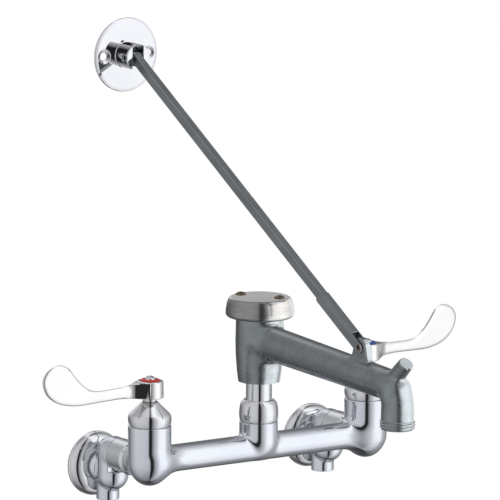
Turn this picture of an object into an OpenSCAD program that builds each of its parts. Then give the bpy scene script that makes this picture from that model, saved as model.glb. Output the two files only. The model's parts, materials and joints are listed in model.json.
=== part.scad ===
// Wall-mount service faucet with two valves, a vacuum breaker spout, a pail hook and a wall brace.
// Millimetres. The origin lies in the wall plane, midway between the two inlets.
// +X is to the right, -Y comes out from the wall towards the user, +Z is up.

/* [Layout] */
// Distance between the centres of the two inlets
inlet_centres = 203.2; // [190:0.2:220]
// Distance from the wall to the valve axes and the spout column axis
body_reach = 76; // [73:0.5:88]
// Rise of the valve tails above the wall inlets
tail_rise = 12.7; // [11:0.1:14]
// Rise of the cross bar above the valve tails
bar_rise = 2.3; // [0:0.1:3]

/* [Supply stops] */
// Diameter of the round cover against the wall
escutcheon_d = 50.6; // [44:0.2:64]
// Depth of the cover, from the wall to its collar
escutcheon_h = 9.2; // [7:0.2:10.5]
// Radius of the pipe thread bore in each inlet
pipe_r = 9.6; // [9:0.1:9.8]
// Outer radius of the shank that takes the pipe
shank_r = 12.2; // [11.8:0.1:13.5]
// Distance from the wall to the vertical stop leg
leg_out = 18.5; // [17.5:0.25:21]
// Drop of the stop leg below the inlet axis
leg_drop = 25; // [22:0.5:34]
// Outer radius of the stop leg
leg_r = 8.9; // [8.6:0.1:10]
// Outer radius of the round stop body
stop_ball_r = 12.6; // [12:0.1:13.4]
// Outer radius of the coupling nut
nut_r = 13; // [12.7:0.1:14.5]
// Length of the coupling nut
nut_length = 22; // [20:0.5:25]

/* [Valves] */
// Outer radius of each valve barrel
barrel_r = 16.7; // [16.2:0.1:18]
// Height of the barrel seam above the inlet axis
barrel_top = 43.1; // [42:0.1:48]
// Height of the lowest point of the barrel
barrel_bottom = -4; // [-8:0.5:-1]
// Height of the bonnet above the barrel seam
bonnet_h = 18.9; // [18:0.1:24]
// Radius of the bonnet at its top
bonnet_neck_r = 6.6; // [5.8:0.1:7.2]
// Radius of the valve stems
stem_r = 4; // [3.5:0.1:4.3]
// Gap between the bonnet and the handle hub on the hot side
handle_gap = 2.9; // [2:0.1:6]
// Extra height of the cold handle
cold_lift = 8.5; // [0:0.5:12]

/* [Handles] */
// Length of each blade handle from its axis
handle_length = 98.5; // [80:0.5:150]
// Height of the blade tip above the bottom of the hub
handle_rise = 34.1; // [28:0.1:42]
// Thickness of the blade
blade_t = 2.6; // [2:0.1:4]
// Outer radius of the handle hub
hub_r = 10.45; // [10:0.05:12.5]
// Height of the handle hub
hub_h = 13.5; // [12.5:0.5:17]
// Distance from the axis at which the root ends inside the blade
root_reach = 25; // [20:0.5:32]
// Length of the flat flank between the hub and the blade
root_flank = 7.8; // [6:0.1:9]
// Outer radius of the colour index ring
ring_r = 7.5; // [6.5:0.1:8.5]
// Angle of the cold handle back towards the wall
cold_angle = 9; // [0:1:15]

/* [Cross bar] */
// Outer radius of the cross bar
bar_r = 10.5; // [9.5:0.1:11.5]
// Radius of the water way in the bar
bar_bore_r = 6.6; // [5.5:0.1:7]
// Radius of the blend between the bar and the barrels
bar_fillet = 7; // [3:0.5:9]
// Outer radius of the centre boss
boss_r = 14.9; // [14.4:0.1:16]
// Height of the boss seam above the inlet axis
boss_top = 35.8; // [34:0.1:40]

/* [Spout column] */
// Height of the spout nut
spout_nut_h = 17; // [16:0.5:20]
// Largest radius of the spout nut
spout_nut_r = 15.2; // [15:0.1:17]
// Outer radius of the swivel tube
tube_r = 10.05; // [9.6:0.05:10.3]
// Length of swivel tube that shows between the nut and the spout
tube_show = 10.4; // [6:0.1:20]
// Radius of the spout body at its lower end
column_r = 16.3; // [15.6:0.1:17.4]
// Radius of the spout body at the arm
column_top_r = 18.7; // [18.2:0.1:20]
// Height of the spout body
column_h = 62.4; // [60:0.1:66]
// Largest radius of the breaker cap
cap_r = 26.6; // [25.6:0.1:30]
// Height of the breaker cap
cap_h = 15.5; // [14:0.5:19]

/* [Spout arm] */
// Reach of the outlet in front of the column axis
spout_reach = 184.4; // [170:0.2:220]
// Height of the arm axis above the bottom of the spout body
arm_rise = 37; // [35:0.1:39]
// Fall of the arm below the level
arm_fall = 2; // [0:0.25:3]
// Radius of the arm at the column
arm_root_r = 13.5; // [13:0.1:14.5]
// Radius of the arm at the elbow
arm_tip_r = 12; // [11.6:0.1:12.4]
// Radius of the elbow centreline
elbow_r = 15; // [14.5:0.5:18]
// Length of the outlet below the elbow
outlet_drop = 17.3; // [15:0.1:26]
// Outer radius of the outlet above the thread
outlet_r = 12.6; // [12.2:0.1:12.9]
// Radius of the hose thread at the outlet
thread_r = 13.45; // [13.1:0.05:13.8]
// Length of the hose thread
thread_h = 7.5; // [6:0.5:10]
// Radius of the water way in the outlet
outlet_bore_r = 9.4; // [8:0.1:9.8]
// Radius of the water way in the arm
arm_bore_r = 8.6; // [7:0.1:9]

/* [Pail hook] */
// Radius of the pail hook at its tip
hook_r = 5.8; // [5:0.1:6.5]
// Lean of the hook from the vertical
hook_lean = 47; // [42:1:50]
// Slope of the end face of the hook
hook_face = 40; // [34:1:48]
// Length of the hook along its axis
hook_length = 30; // [26:0.5:34]

/* [Wall brace] */
// Distance between the two pivots of the brace
brace_length = 361.7; // [300:0.1:420]
// Slope of the brace as it stands in the picture of the part
brace_slope = 29.8; // [25:0.1:60]
// Distance from the column axis to the brace pin
lug_out = 137.4; // [125:0.1:145]
// Height of the brace pin above the arm axis
lug_height = 21.8; // [21:0.1:24]
// Thickness of the lug on the arm
lug_t = 5.6; // [5:0.1:6]
// Width of the brace bar
brace_w = 6.2; // [5.8:0.1:8]
// Depth of the brace bar
brace_d = 7.6; // [7:0.1:9]
// Sheet thickness of the clevis channel
channel_t = 1; // [0.8:0.1:1.2]
// Depth of the clevis channel
channel_d = 8.4; // [8:0.1:9]
// Length of the clevis channel from the pin
channel_length = 63; // [50:1:90]
// Radius of the hollow brace pin
brace_pin_r = 2.5; // [2:0.1:3]

/* [Brace flange] */
// Diameter of the flange against the wall
flange_d = 59; // [57:1:76]
// Thickness of the flange at its centre
flange_t = 2.2; // [2:0.1:4]
// Radius of the round boss on the flange
flange_boss_r = 10.8; // [10:0.1:12]
// Distance from the flange to the pivot
flange_pivot_out = 12.5; // [11:0.5:18]
// Width of the slot between the two ears
flange_slot = 10; // [8.5:0.1:11]
// Spacing of the two wall screws
flange_screw_spacing = 42; // [40:0.2:44]
// Radius of the wall screw holes
flange_hole_r = 3.1; // [2.5:0.1:3.5]

/* [Fits] */
// Radial clearance of pieces that turn in each other
running = 0.05; // [0.02:0.01:0.1]
// Radial clearance of pieces that are screwed or pushed together
slip = 0.1; // [0.05:0.01:0.15]
// Gap between pieces that pass without touching
gap = 0.3; // [0.2:0.05:0.4]

/* [Hidden] */
$fn = 64;

hot = -1;
cold = 1;
chrome = [0.82, 0.83, 0.85];
satin = [0.42, 0.45, 0.46];
nickel = [0.60, 0.59, 0.57];
steel = [0.45, 0.48, 0.49];
brass = [0.72, 0.56, 0.30];
rubber = [0.13, 0.13, 0.14];
red = [0.85, 0.14, 0.10];
blue = [0.12, 0.25, 0.70];

// The coupling between the stop and the valve tail, as distances from the wall
tail_collar_length = 4;
collar_end = body_reach - barrel_r - tail_collar_length;
nut_front = collar_end - gap;
nut_back = nut_front - nut_length;
nut_thread_r = nut_r - 1.4;
nut_shoulder = 7;
tail_flange_t = 3;
inlet_washer_t = 2;
tail_tube_r = 9.5;
tail_bore_r = 6.5;
tail_flange_front = nut_front - nut_shoulder - slip;
tail_flange_back = tail_flange_front - tail_flange_t;
spigot_end = tail_flange_back - inlet_washer_t;

// Stop body
ball_out = leg_out + 8.2;
chamber_r = leg_r - 2.3;
gland_h = 5.8;
gland_r = leg_r - 1.7;
stop_stem_r = 3.5;
stop_seat_z = 4;
stop_seat_h = 3;
leg_top = tail_rise + 1.5;
stop_disc_h = 3;
pipe_depth = leg_out - chamber_r - 1.2;
pipe_port_r = 5;
leg_passage_r = tail_bore_r - 1.2;

// Valve barrel, with a lower chamber for the inlet and an upper one round the cartridge
bar_z = tail_rise + bar_rise;
dome_z = bar_z + 0.5;
chamber_floor = bar_z + bar_bore_r + 2.4;
upper_chamber_r = barrel_r - 4.5;
lower_chamber_r = 6.2;
port_r = 3.2;
port_offset = upper_chamber_r - 0.7;
bar_bore_end = inlet_centres / 2 - lower_chamber_r - 2.4;
skirt_h = 5;
cartridge_r = 9;
cartridge_neck_r = 6.5;
cartridge_top = barrel_top + 7;
cartridge_cavity_r = 7;
ceramic_z = chamber_floor + 2;
ceramic_h = 2.4;
bonnet_top = barrel_top + bonnet_h;

// Handles
hub_bottom = bonnet_top + handle_gap;
recess_depth = 1.2;
spline_r = stem_r + 0.4;
spline_h = hub_h - 5;
ring_h = 2.4;
screw_head_r = 4.2;
screw_r = 2;
flank_turn = 58;

// Spout column
nut_top = boss_top + spout_nut_h;
column_z = nut_top + tube_show;
column_top = column_z + column_h;
spigot_r = 12.5;
spigot_h = 8;
tube_collar_h = 2.6;
tube_bore_r = 7.5;
tube_low = boss_top - 9;
tube_socket = 10;
swivel_washer_h = 0.8;
breaker_r = 12.5;
breaker_floor = column_z + tube_socket + 1.3;
seat_h = 4;
vent_seat_r = 13.2;
vent_seat_z = column_top - 12.5;
vent_seat_h = 3.2;
float_lift = 4;
float_disc_h = 3;
float_gap = 0.3;
cap_bottom = column_top - cap_h / 2 + 0.3;
cap_top = cap_bottom + cap_h;
cap_wall = 2.3;
cap_screw_out = 16.4;
cap_screw_angle = -59;
cap_screw_r = 2;

// Spout arm and outlet
arm_z = column_z + arm_rise;
arm_length = (spout_reach - elbow_r * (1 - sin(arm_fall))) / cos(arm_fall);
elbow_start = [0, -body_reach - arm_length * cos(arm_fall), arm_z - arm_length * sin(arm_fall)];
elbow_centre = elbow_start + elbow_r * [0, sin(arm_fall), -cos(arm_fall)];
outlet_y = elbow_centre[1] - elbow_r;
outlet_low = elbow_centre[2] - outlet_drop;
arm_bore_start = breaker_r - 2;

// The elbow is a little thicker than the arm, so that their surfaces never coincide
elbow_step = 0.15;
// A ball fills out the outer corner of the elbow
corner_r = arm_tip_r + 0.2;
corner_in = 3;
corner = [0, outlet_y + corner_in, arm_z + (outlet_y + body_reach) * tan(arm_fall) - corner_in];

// Pail hook
hook_root_out = 3.5;
hook_root_up = elbow_r - 0.5;
hook_root = elbow_centre + [0, -hook_root_out, hook_root_up];

// Brace
pin_y = -body_reach - lug_out;
pin_z = arm_z - lug_out * tan(arm_fall) + lug_height;
lug_r = 7.4;
channel_w = brace_w + 2 * running + 2 * channel_t;
channel_low = -brace_d / 2 - running - channel_t;
channel_mid = channel_low + channel_d / 2;
channel_cut = 14;
bar_start = 13.5;
flange_pivot_r = 2.5;
pivot_y = pin_y + brace_length * cos(brace_slope);
pivot_z = pin_z + brace_length * sin(brace_slope);
pivot_nose = 4;
flange_head_r = 3.3;
flange_head_h = 3.6;
flange_head_recess = 0.6;
sink_r = flange_hole_r + 2.9;
sink_floor = 0.7;

// Points along an arc about (cx, cy), in n steps
function arc(cx, cy, r, from, to, n = 8) =
    [for (i = [0:n]) let (a = from + (to - from) * i / n) [cx + r * cos(a), cy + r * sin(a)]];

// Points along an upright ellipse about (0, cy), in n steps
function oval(cy, rx, ry, from, to, n = 10) =
    [for (i = [0:n]) let (a = from + (to - from) * i / n) [rx * cos(a), cy + ry * sin(a)]];

// One point of a smooth curve through b and c, at the share t of the way
function blend_point(a, b, c, d, t) =
    0.5 * (2 * b + (c - a) * t + (2 * a - 5 * b + 4 * c - d) * t * t + (3 * b - a - 3 * c + d) * t * t * t);

// A smooth curve through all the points, with n steps between neighbours
function smooth_curve(p, n = 4) = [
    for (i = [0:len(p) - 2]) for (k = [0:n - 1])
        blend_point(p[max(i - 1, 0)], p[i], p[i + 1], p[min(i + 2, len(p) - 1)], k / n),
    p[len(p) - 1]
];

// Tangent point on a circle of radius r about c, as seen from p, on the given side
function tangent_point(p, c, r, side) =
    let (v = p - c, turn = atan2(v[1], v[0]) + side * acos(r / norm(v)))
    c + r * [cos(turn), sin(turn)];

module lathe(points) {
    rotate_extrude($fn = 96) polygon(points);
}

// A tube along +Z with a through bore
module ring(outer, inner, low, high) {
    difference() {
        translate([0, 0, low]) cylinder(h = high - low, r = outer);
        translate([0, 0, low - 1]) cylinder(h = high - low + 2, r = inner);
    }
}

// A frame whose +Z points out from the wall, at one inlet and the given height
module from_wall(side, z) {
    translate([side * inlet_centres / 2, 0, z]) rotate([90, 0, 0]) children();
}

module at_valve(side) {
    translate([side * inlet_centres / 2, -body_reach, 0]) children();
}

module at_leg(side) {
    translate([side * inlet_centres / 2, -leg_out, 0]) children();
}

module at_column() {
    translate([0, -body_reach, 0]) children();
}

// A frame on a handle, whose +X runs out along the blade and whose z = 0 is the bottom of the hub
module at_handle(side) {
    lift = side == cold ? cold_lift : 0;
    turn = side == cold ? cold_angle : 180;
    at_valve(side) translate([0, 0, hub_bottom + lift]) rotate([0, 0, turn]) children();
}

// A frame along the arm axis, with +Z towards the outlet
module along_arm() {
    translate([0, -body_reach, arm_z]) rotate([90 + arm_fall, 0, 0]) children();
}

// A frame on the brace, with +Y from the pin towards the wall flange
module on_brace() {
    translate([0, pin_y, pin_z]) rotate([brace_slope, 0, 0]) children();
}

// A frame at the wall flange pivot, with -Y out from the wall
module on_flange() {
    translate([0, pivot_y, pivot_z]) children();
}

module barrel_solid() {
    lathe(concat(
        oval(dome_z, barrel_r, dome_z - barrel_bottom, -90, 0, 12),
        [[barrel_r, barrel_top - 0.5], [barrel_r - 0.5, barrel_top], [0, barrel_top]]
    ));
}

// The cross bar, which swells into the barrels at both ends
module bar_solid() {
    end = inlet_centres / 2;
    start = end - barrel_r - bar_fillet * 0.75;
    flare = arc(start, bar_r + bar_fillet, bar_fillet, -90, -25, 6);
    half = concat([[0, bar_r]], flare, [[end - barrel_r * 0.45, bar_r], [end, bar_r - 1]]);
    mirrored = [for (i = [len(half) - 1:-1:1]) [-half[i][0], half[i][1]]];
    outline = concat(mirrored, half);
    translate([0, -body_reach, bar_z]) rotate([0, 90, 0])
        lathe(concat([[0, -end]], [for (p = outline) [p[1], p[0]]], [[0, end]]));
}

module boss_solid() {
    lathe(concat(
        [[0, bar_z - bar_r * 0.75]],
        oval(bar_z + 8, boss_r, bar_r + 6, -70, 0, 8),
        [[boss_r, boss_top - 0.4], [boss_r - 0.4, boss_top], [spigot_r, boss_top]],
        [[spigot_r, boss_top + spigot_h], [0, boss_top + spigot_h]]
    ));
}

module tail_solid(side) {
    from_wall(side, tail_rise) {
        translate([0, 0, collar_end]) cylinder(h = tail_collar_length + barrel_r / 2, r = stop_ball_r);
        translate([0, 0, tail_flange_back]) cylinder(h = body_reach - tail_flange_back - barrel_r / 2, r = tail_tube_r);
        translate([0, 0, tail_flange_back]) cylinder(h = tail_flange_t, r = nut_thread_r - slip);
    }
}

module barrel_bores(side) {
    at_valve(side) {
        translate([0, 0, chamber_floor]) cylinder(h = barrel_top, r = upper_chamber_r);
        translate([0, 0, tail_rise - tail_bore_r - 0.5])
            cylinder(h = chamber_floor - tail_rise + tail_bore_r + 1.5, r = lower_chamber_r);
        translate([-side * port_offset, 0, bar_z]) cylinder(h = chamber_floor - bar_z + 1, r = port_r);
    }
    from_wall(side, tail_rise) translate([0, 0, tail_flange_back - 1])
        cylinder(h = body_reach - tail_flange_back + 1, r = tail_bore_r);
}

module body_casting() {
    color(chrome) difference() {
        union() {
            bar_solid();
            at_column() boss_solid();
            for (side = [hot, cold]) {
                at_valve(side) barrel_solid();
                tail_solid(side);
            }
        }
        for (side = [hot, cold]) barrel_bores(side);
        translate([-bar_bore_end, -body_reach, bar_z]) rotate([0, 90, 0])
            cylinder(h = 2 * bar_bore_end, r = bar_bore_r);
        at_column() translate([0, 0, bar_z]) cylinder(h = boss_top, r = tube_bore_r);
        at_column() translate([0, 0, tube_low - gap]) cylinder(h = boss_top, r = tube_r + running);
    }
}

module escutcheon(side) {
    rim_r = escutcheon_d / 2;
    collar_r = shank_r + slip + 1.4;
    dome_r = rim_r - collar_r;
    dome_h = escutcheon_h - 2.6;
    outer = [for (i = [0:8]) let (a = 90 * i / 8)
        [collar_r + (dome_r - 1) * cos(a), 2.2 + dome_h * sin(a)]];
    inner = [for (i = [0:8]) let (a = 90 * i / 8)
        [collar_r + (dome_r - 3) * cos(a), 0.6 + (dome_h + 0.2) * sin(a)]];
    color(chrome) from_wall(side, 0) difference() {
        lathe(concat(
            [[0, 0], [rim_r, 0], [rim_r, 1.4], [rim_r - 0.6, 2.2]],
            outer,
            [[collar_r, escutcheon_h - 0.4], [collar_r - 0.4, escutcheon_h], [0, escutcheon_h]]
        ));
        lathe(concat([[0, -1], [collar_r + dome_r - 3, -1]], inner, [[0, 0.8 + dome_h]]));
        translate([0, 0, -1]) cylinder(h = escutcheon_h + 2, r = shank_r + slip);
    }
}

module stop_body(side) {
    neck_low = -leg_drop + 10;
    neck_dy = ball_out - leg_out;
    neck_dz = tail_rise - 2 - neck_low;
    color(chrome) difference() {
        union() {
            from_wall(side, 0) lathe([
                [0, 0], [shank_r, 0], [shank_r, leg_out - 6], [shank_r - 1.5, leg_out - 3.5],
                [shank_r - 5, leg_out - 1.5], [0, leg_out - 1.5]
            ]);
            at_leg(side) lathe(concat(
                [[0, -leg_drop], [leg_r - 0.6, -leg_drop], [leg_r, -leg_drop + 0.6]],
                arc(0, leg_top, leg_r, 0, 90, 8)
            ));
            from_wall(side, tail_rise) lathe(concat(
                arc(0, ball_out, stop_ball_r, -90, 0, 12),
                [[stop_ball_r, nut_back - 0.5], [stop_ball_r - 0.5, nut_back], [nut_thread_r - slip, nut_back]],
                [[nut_thread_r - slip, spigot_end], [0, spigot_end]]
            ));
            intersection() {
                at_leg(side) translate([0, 0, neck_low]) rotate([atan2(neck_dy, neck_dz), 0, 0])
                    cylinder(h = norm([neck_dy, neck_dz]), r1 = leg_r - 0.5, r2 = stop_ball_r - 0.9);
                from_wall(side, 0) translate([-nut_r, -leg_drop, 0])
                    cube([2 * nut_r, 2 * leg_drop, nut_back - 1]);
            }
        }
        from_wall(side, 0) translate([0, 0, -1]) cylinder(h = pipe_depth + 1, r = pipe_r);
        from_wall(side, 0) cylinder(h = leg_out, r = pipe_port_r);
        at_leg(side) {
            translate([0, 0, -leg_drop - 1]) cylinder(h = leg_drop + stop_seat_z + 1, r = chamber_r);
            translate([0, 0, -leg_drop - 1]) cylinder(h = gland_h + 1, r = gland_r);
            cylinder(h = tail_rise, r = chamber_r - 2.2);
            translate([0, 0, stop_seat_z + stop_seat_h])
                cylinder(h = tail_rise + 2 - stop_seat_z - stop_seat_h, r = chamber_r);
        }
        from_wall(side, tail_rise) translate([0, 0, leg_out])
            cylinder(h = spigot_end - leg_out + 1, r = leg_passage_r);
    }
}

module stop_gland(side) {
    color(brass) at_leg(side) ring(gland_r - slip, stop_stem_r + running, -leg_drop, -leg_drop + gland_h);
}

// The screwdriver stem of the stop, with its rubber-faced disc standing open below the seat
module stop_stem(side) {
    low = -leg_drop + 0.5;
    disc_low = -leg_drop / 2 + 3;
    color(brass) at_leg(side) difference() {
        lathe([
            [0, low], [stop_stem_r - 0.4, low], [stop_stem_r, low + 0.4],
            [stop_stem_r, disc_low - 2.4], [chamber_r - 1.5, disc_low],
            [chamber_r - 1, disc_low], [chamber_r - 1, disc_low + stop_disc_h], [0, disc_low + stop_disc_h]
        ]);
        translate([-stop_stem_r - 1, -0.7, low - 1]) cube([2 * stop_stem_r + 2, 1.4, 2.4]);
    }
}

module inlet_nut(side) {
    color(chrome) from_wall(side, tail_rise) difference() {
        lathe([
            [0, nut_back], [nut_r - 0.8, nut_back], [nut_r, nut_back + 0.8],
            [nut_r, nut_front - 0.8], [nut_r - 0.8, nut_front], [0, nut_front]
        ]);
        translate([0, 0, nut_back - 1]) cylinder(h = nut_length - nut_shoulder + 1, r = nut_thread_r);
        translate([0, 0, nut_back - 1]) cylinder(h = nut_length + 2, r = tail_tube_r + slip);
    }
}

module inlet_washer(side) {
    color(rubber) from_wall(side, tail_rise)
        ring(nut_thread_r - slip, tail_bore_r, spigot_end, tail_flange_back);
}

// The valve cartridge, with a fixed seat at its foot and windows that let the water out
module cartridge(side) {
    window_w = 5;
    color(brass) at_valve(side) difference() {
        lathe([
            [0, chamber_floor], [cartridge_r, chamber_floor], [cartridge_r, barrel_top - skirt_h],
            [cartridge_neck_r, barrel_top - skirt_h], [cartridge_neck_r, cartridge_top], [0, cartridge_top]
        ]);
        translate([0, 0, ceramic_z]) cylinder(h = 6, r = cartridge_cavity_r);
        translate([0, 0, ceramic_z]) cylinder(h = cartridge_top, r = stem_r + running);
        for (turn = [0, 180]) rotate([0, 0, turn]) {
            translate([3.2, 0, chamber_floor - 1]) cylinder(h = 4, r = 2);
            translate([0, -window_w / 2, ceramic_z + 0.2]) cube([cartridge_r + 1, window_w, 5]);
        }
    }
}

module bonnet(side) {
    widest_r = barrel_r + 0.1;
    widest_z = bonnet_h * 0.29;
    belly_r = 14;
    shoulder_r = 6;
    neck_z = bonnet_h - 0.6;
    color(chrome) at_valve(side) translate([0, 0, barrel_top]) difference() {
        lathe(concat(
            [[0, -skirt_h], [upper_chamber_r - slip, -skirt_h], [upper_chamber_r - slip, 0]],
            arc(widest_r - belly_r, widest_z, belly_r, -asin(widest_z / belly_r), 0, 5),
            arc(widest_r - shoulder_r, widest_z, shoulder_r, 9, 45, 5),
            [[bonnet_neck_r + 0.8, neck_z - 0.8], [bonnet_neck_r, neck_z], [bonnet_neck_r - 0.6, bonnet_h]],
            [[0, bonnet_h]]
        ));
        translate([0, 0, -skirt_h - 1]) cylinder(h = skirt_h + 1, r = cartridge_r + gap);
        translate([0, 0, -1]) cylinder(h = cartridge_top - barrel_top + 1 + gap, r = cartridge_neck_r + slip);
        cylinder(h = bonnet_h + 1, r = stem_r + gap);
    }
}

// The stem turns with the handle and carries the ceramic disc that covers the ports
module stem(side) {
    lift = side == cold ? cold_lift : 0;
    hub_z = hub_bottom + lift;
    top = hub_z + spline_h - gap;
    collar_r = bonnet_neck_r - 1.1;
    color(brass) at_valve(side) difference() {
        lathe([
            [0, ceramic_z + running], [cartridge_cavity_r - gap, ceramic_z + running],
            [cartridge_cavity_r - gap, ceramic_z + ceramic_h], [stem_r, ceramic_z + ceramic_h],
            [stem_r, bonnet_top + gap], [collar_r, bonnet_top + gap], [collar_r, hub_z],
            [spline_r, hub_z], [spline_r, top - 0.6], [spline_r - 0.6, top], [0, top]
        ]);
        translate([0, 0, hub_z + 2]) cylinder(h = hub_h, r = screw_r + slip);
        for (turn = [0, 180]) rotate([0, 0, turn])
            translate([0, 3.2, ceramic_z - 1]) cylinder(h = ceramic_h + 1.5, r = 2);
    }
}

// Outline of the blade as [share of the length, share of the rise]
blade_outline = [
    [0.08, 0.055], [0.31, 0.042], [0.51, 0.018], [0.63, 0.006], [0.73, 0.022], [0.86, 0.118],
    [0.963, 0.34], [1, 0.65], [0.955, 0.885], [0.853, 1], [0.762, 0.912], [0.71, 0.738],
    [0.655, 0.56], [0.594, 0.414], [0.503, 0.305], [0.305, 0.311], [0.15, 0.34], [0.08, 0.36]
];

module blade_plate() {
    outline = [for (p = blade_outline) [p[0] * handle_length, p[1] * handle_rise]];
    translate([0, blade_t / 2, 0]) rotate([90, 0, 0])
        linear_extrude(height = blade_t) polygon(smooth_curve(outline, 5));
}

// The root that joins the blade to the hub, with a flat flank on each side that thins into the blade
module blade_root() {
    edge = 0.6;
    crease = hub_r * [cos(flank_turn), sin(flank_turn)] + root_flank * [sin(flank_turn), -cos(flank_turn)];
    buried = blade_t / 2 - 0.15;
    thinning = [for (i = [0:8]) let (t = i / 8)
        [crease[0] + (root_reach - crease[0]) * t, buried + (crease[1] - buried) * pow(1 - t, 5)]];
    flank = concat([[0, 0], hub_r * [cos(flank_turn), sin(flank_turn)]], thinning);
    low = handle_rise * 0.05;
    high = handle_rise * 0.33;
    intersection() {
        translate([0, hub_r, 0]) rotate([90, 0, 0]) linear_extrude(height = 2 * hub_r) polygon([
            [0, edge], [crease[0], edge], [root_reach, low], [root_reach, high],
            [crease[0] + root_flank * 0.7, high + 0.4], [crease[0], hub_h - edge], [0, hub_h - edge]
        ]);
        linear_extrude(height = hub_h)
            polygon(concat(flank, [for (i = [len(flank) - 1:-1:1]) [flank[i][0], -flank[i][1]]]));
    }
}

module handle(side) {
    color(chrome) at_handle(side) difference() {
        union() {
            lathe([
                [0, 0], [hub_r - 0.6, 0], [hub_r + 0.1, 0.7], [hub_r - 0.2, hub_h - 1],
                [hub_r - 1.1, hub_h], [0, hub_h]
            ]);
            blade_plate();
            blade_root();
        }
        translate([0, 0, -1]) cylinder(h = spline_h + 1, r = spline_r + running);
        translate([0, 0, -1]) cylinder(h = hub_h + 2, r = screw_r + slip);
        translate([0, 0, hub_h - recess_depth]) cylinder(h = hub_h, r = ring_r + slip);
    }
}

module index_ring(side) {
    low = hub_h - recess_depth;
    color(side == hot ? red : blue) at_handle(side) difference() {
        lathe([[0, low], [ring_r, low], [ring_r, low + ring_h - 0.7], [ring_r - 1, low + ring_h], [0, low + ring_h]]);
        translate([0, 0, low - 1]) cylinder(h = ring_h + 2, r = screw_r + slip);
        translate([0, 0, low + ring_h - 1]) cylinder(h = ring_h, r = screw_head_r + slip);
    }
}

module handle_screw(side) {
    seat = hub_h - recess_depth + ring_h - 1;
    head_h = 3.6;
    color(chrome) at_handle(side) difference() {
        union() {
            lathe(concat(
                [[0, seat], [screw_head_r, seat], [screw_head_r, seat + 1.2]],
                oval(seat + 1.2, screw_head_r, head_h - 1.2, 10, 90, 6)
            ));
            translate([0, 0, 4]) cylinder(h = seat - 3, r = screw_r);
        }
        translate([0, 0, seat + head_h]) for (turn = [0, 90]) rotate([0, 0, turn])
            cube([5, 1.1, 3], center = true);
    }
}

module spout_nut() {
    washer_top = boss_top + spigot_h + tube_collar_h + swivel_washer_h;
    color(chrome) at_column() difference() {
        lathe(concat(
            [[0, boss_top], [boss_r - 0.5, boss_top]],
            arc(spout_nut_r - 30, boss_top + 6.2, 30, -10, 17, 8),
            [[12.4, nut_top - 0.6], [11.8, nut_top], [0, nut_top]]
        ));
        translate([0, 0, boss_top - 1]) cylinder(h = washer_top - boss_top + 1, r = spigot_r + slip);
        translate([0, 0, nut_top - 0.9]) cylinder(h = 2, r1 = tube_r + slip, r2 = tube_r + 2.4);
        translate([0, 0, boss_top]) cylinder(h = spout_nut_h + 1, r = tube_r + slip);
    }
}

module swivel_washer() {
    low = boss_top + spigot_h + tube_collar_h;
    color(rubber) at_column() ring(spigot_r - slip, tube_r + slip, low, low + swivel_washer_h);
}

// The tube turns in the boss on its collar and is fixed in the spout body
module swivel_tube() {
    collar = boss_top + spigot_h;
    groove_z = boss_top - 4;
    color(chrome) at_column() difference() {
        lathe([
            [0, tube_low], [tube_r - 0.6, tube_low], [tube_r, tube_low + 0.6],
            [tube_r, groove_z - 1.2], [tube_r - 1, groove_z - 1.2], [tube_r - 1, groove_z + 1.2],
            [tube_r, groove_z + 1.2], [tube_r, collar], [spigot_r - slip, collar],
            [spigot_r - slip, collar + tube_collar_h], [tube_r, collar + tube_collar_h],
            [tube_r, column_z + tube_socket], [0, column_z + tube_socket]
        ]);
        translate([0, 0, tube_low - 1]) cylinder(h = column_z + tube_socket, r = tube_bore_r);
    }
}

// The tapered body of the vacuum breaker
module breaker_column() {
    top_r = column_top_r - 0.2;
    lathe(concat(
        [[0, column_z], [column_r - 3.8, column_z]],
        arc(column_r - 3.8, column_z + 3.4, 3.4, -80, -5, 6),
        [
            [column_r, column_z + 4.6],
            [column_r + 0.48 * (column_top_r - column_r), column_z + 13.5],
            [column_r + 0.85 * (column_top_r - column_r), column_z + 25],
            [column_top_r, column_z + 36],
            [top_r, column_z + 48],
            [top_r, column_top],
            [0, column_top]
        ]
    ));
}

// The arm, with a concave swell where it leaves the column
module arm_solid() {
    swell = 6;
    swell_start = column_top_r + 4.5;
    along_arm() lathe(concat(
        [[0, 6], [arm_root_r + swell * 0.75, 6]],
        [for (p = arc(swell_start, arm_root_r + swell, swell, -155, -90, 6)) [p[1], p[0]]],
        [[arm_tip_r, arm_length], [0, arm_length]]
    ));
}

// A round bar bent along the centreline of the elbow
module elbow_bend(r) {
    translate(elbow_centre) rotate([90, 0, -90]) rotate([0, 0, -1])
        rotate_extrude(angle = 92 - arm_fall) translate([elbow_r, 0]) circle(r = r);
}

module outlet_solid() {
    translate([0, outlet_y, 0]) lathe([
        [0, outlet_low], [thread_r - 1.1, outlet_low], [thread_r, outlet_low + 1],
        [thread_r, outlet_low + thread_h - 0.4], [thread_r - 0.5, outlet_low + thread_h],
        [outlet_r, outlet_low + thread_h], [outlet_r, elbow_centre[2] - 4],
        [arm_tip_r + 0.3, elbow_centre[2]], [arm_tip_r, elbow_centre[2] + 1], [0, elbow_centre[2] + 1]
    ]);
}

// The round horn that keeps a pail handle from sliding off the spout
module pail_hook() {
    bury = 4;
    waist = 10;
    tip = bury + hook_length;
    spare = 10;
    face_cut = 80;
    translate(hook_root) intersection() {
        rotate([hook_lean, 0, 0]) translate([0, 0, -bury]) lathe([
            [0, 0], [hook_r + 0.9, 0], [hook_r + 0.4, tip - waist],
            [hook_r, tip], [hook_r, tip + spare], [0, tip + spare]
        ]);
        rotate([hook_lean, 0, 0]) translate([0, 0, hook_length]) rotate([hook_face - hook_lean, 0, 0])
            translate([-face_cut / 2, -face_cut / 2, -face_cut]) cube(face_cut);
    }
}

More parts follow.
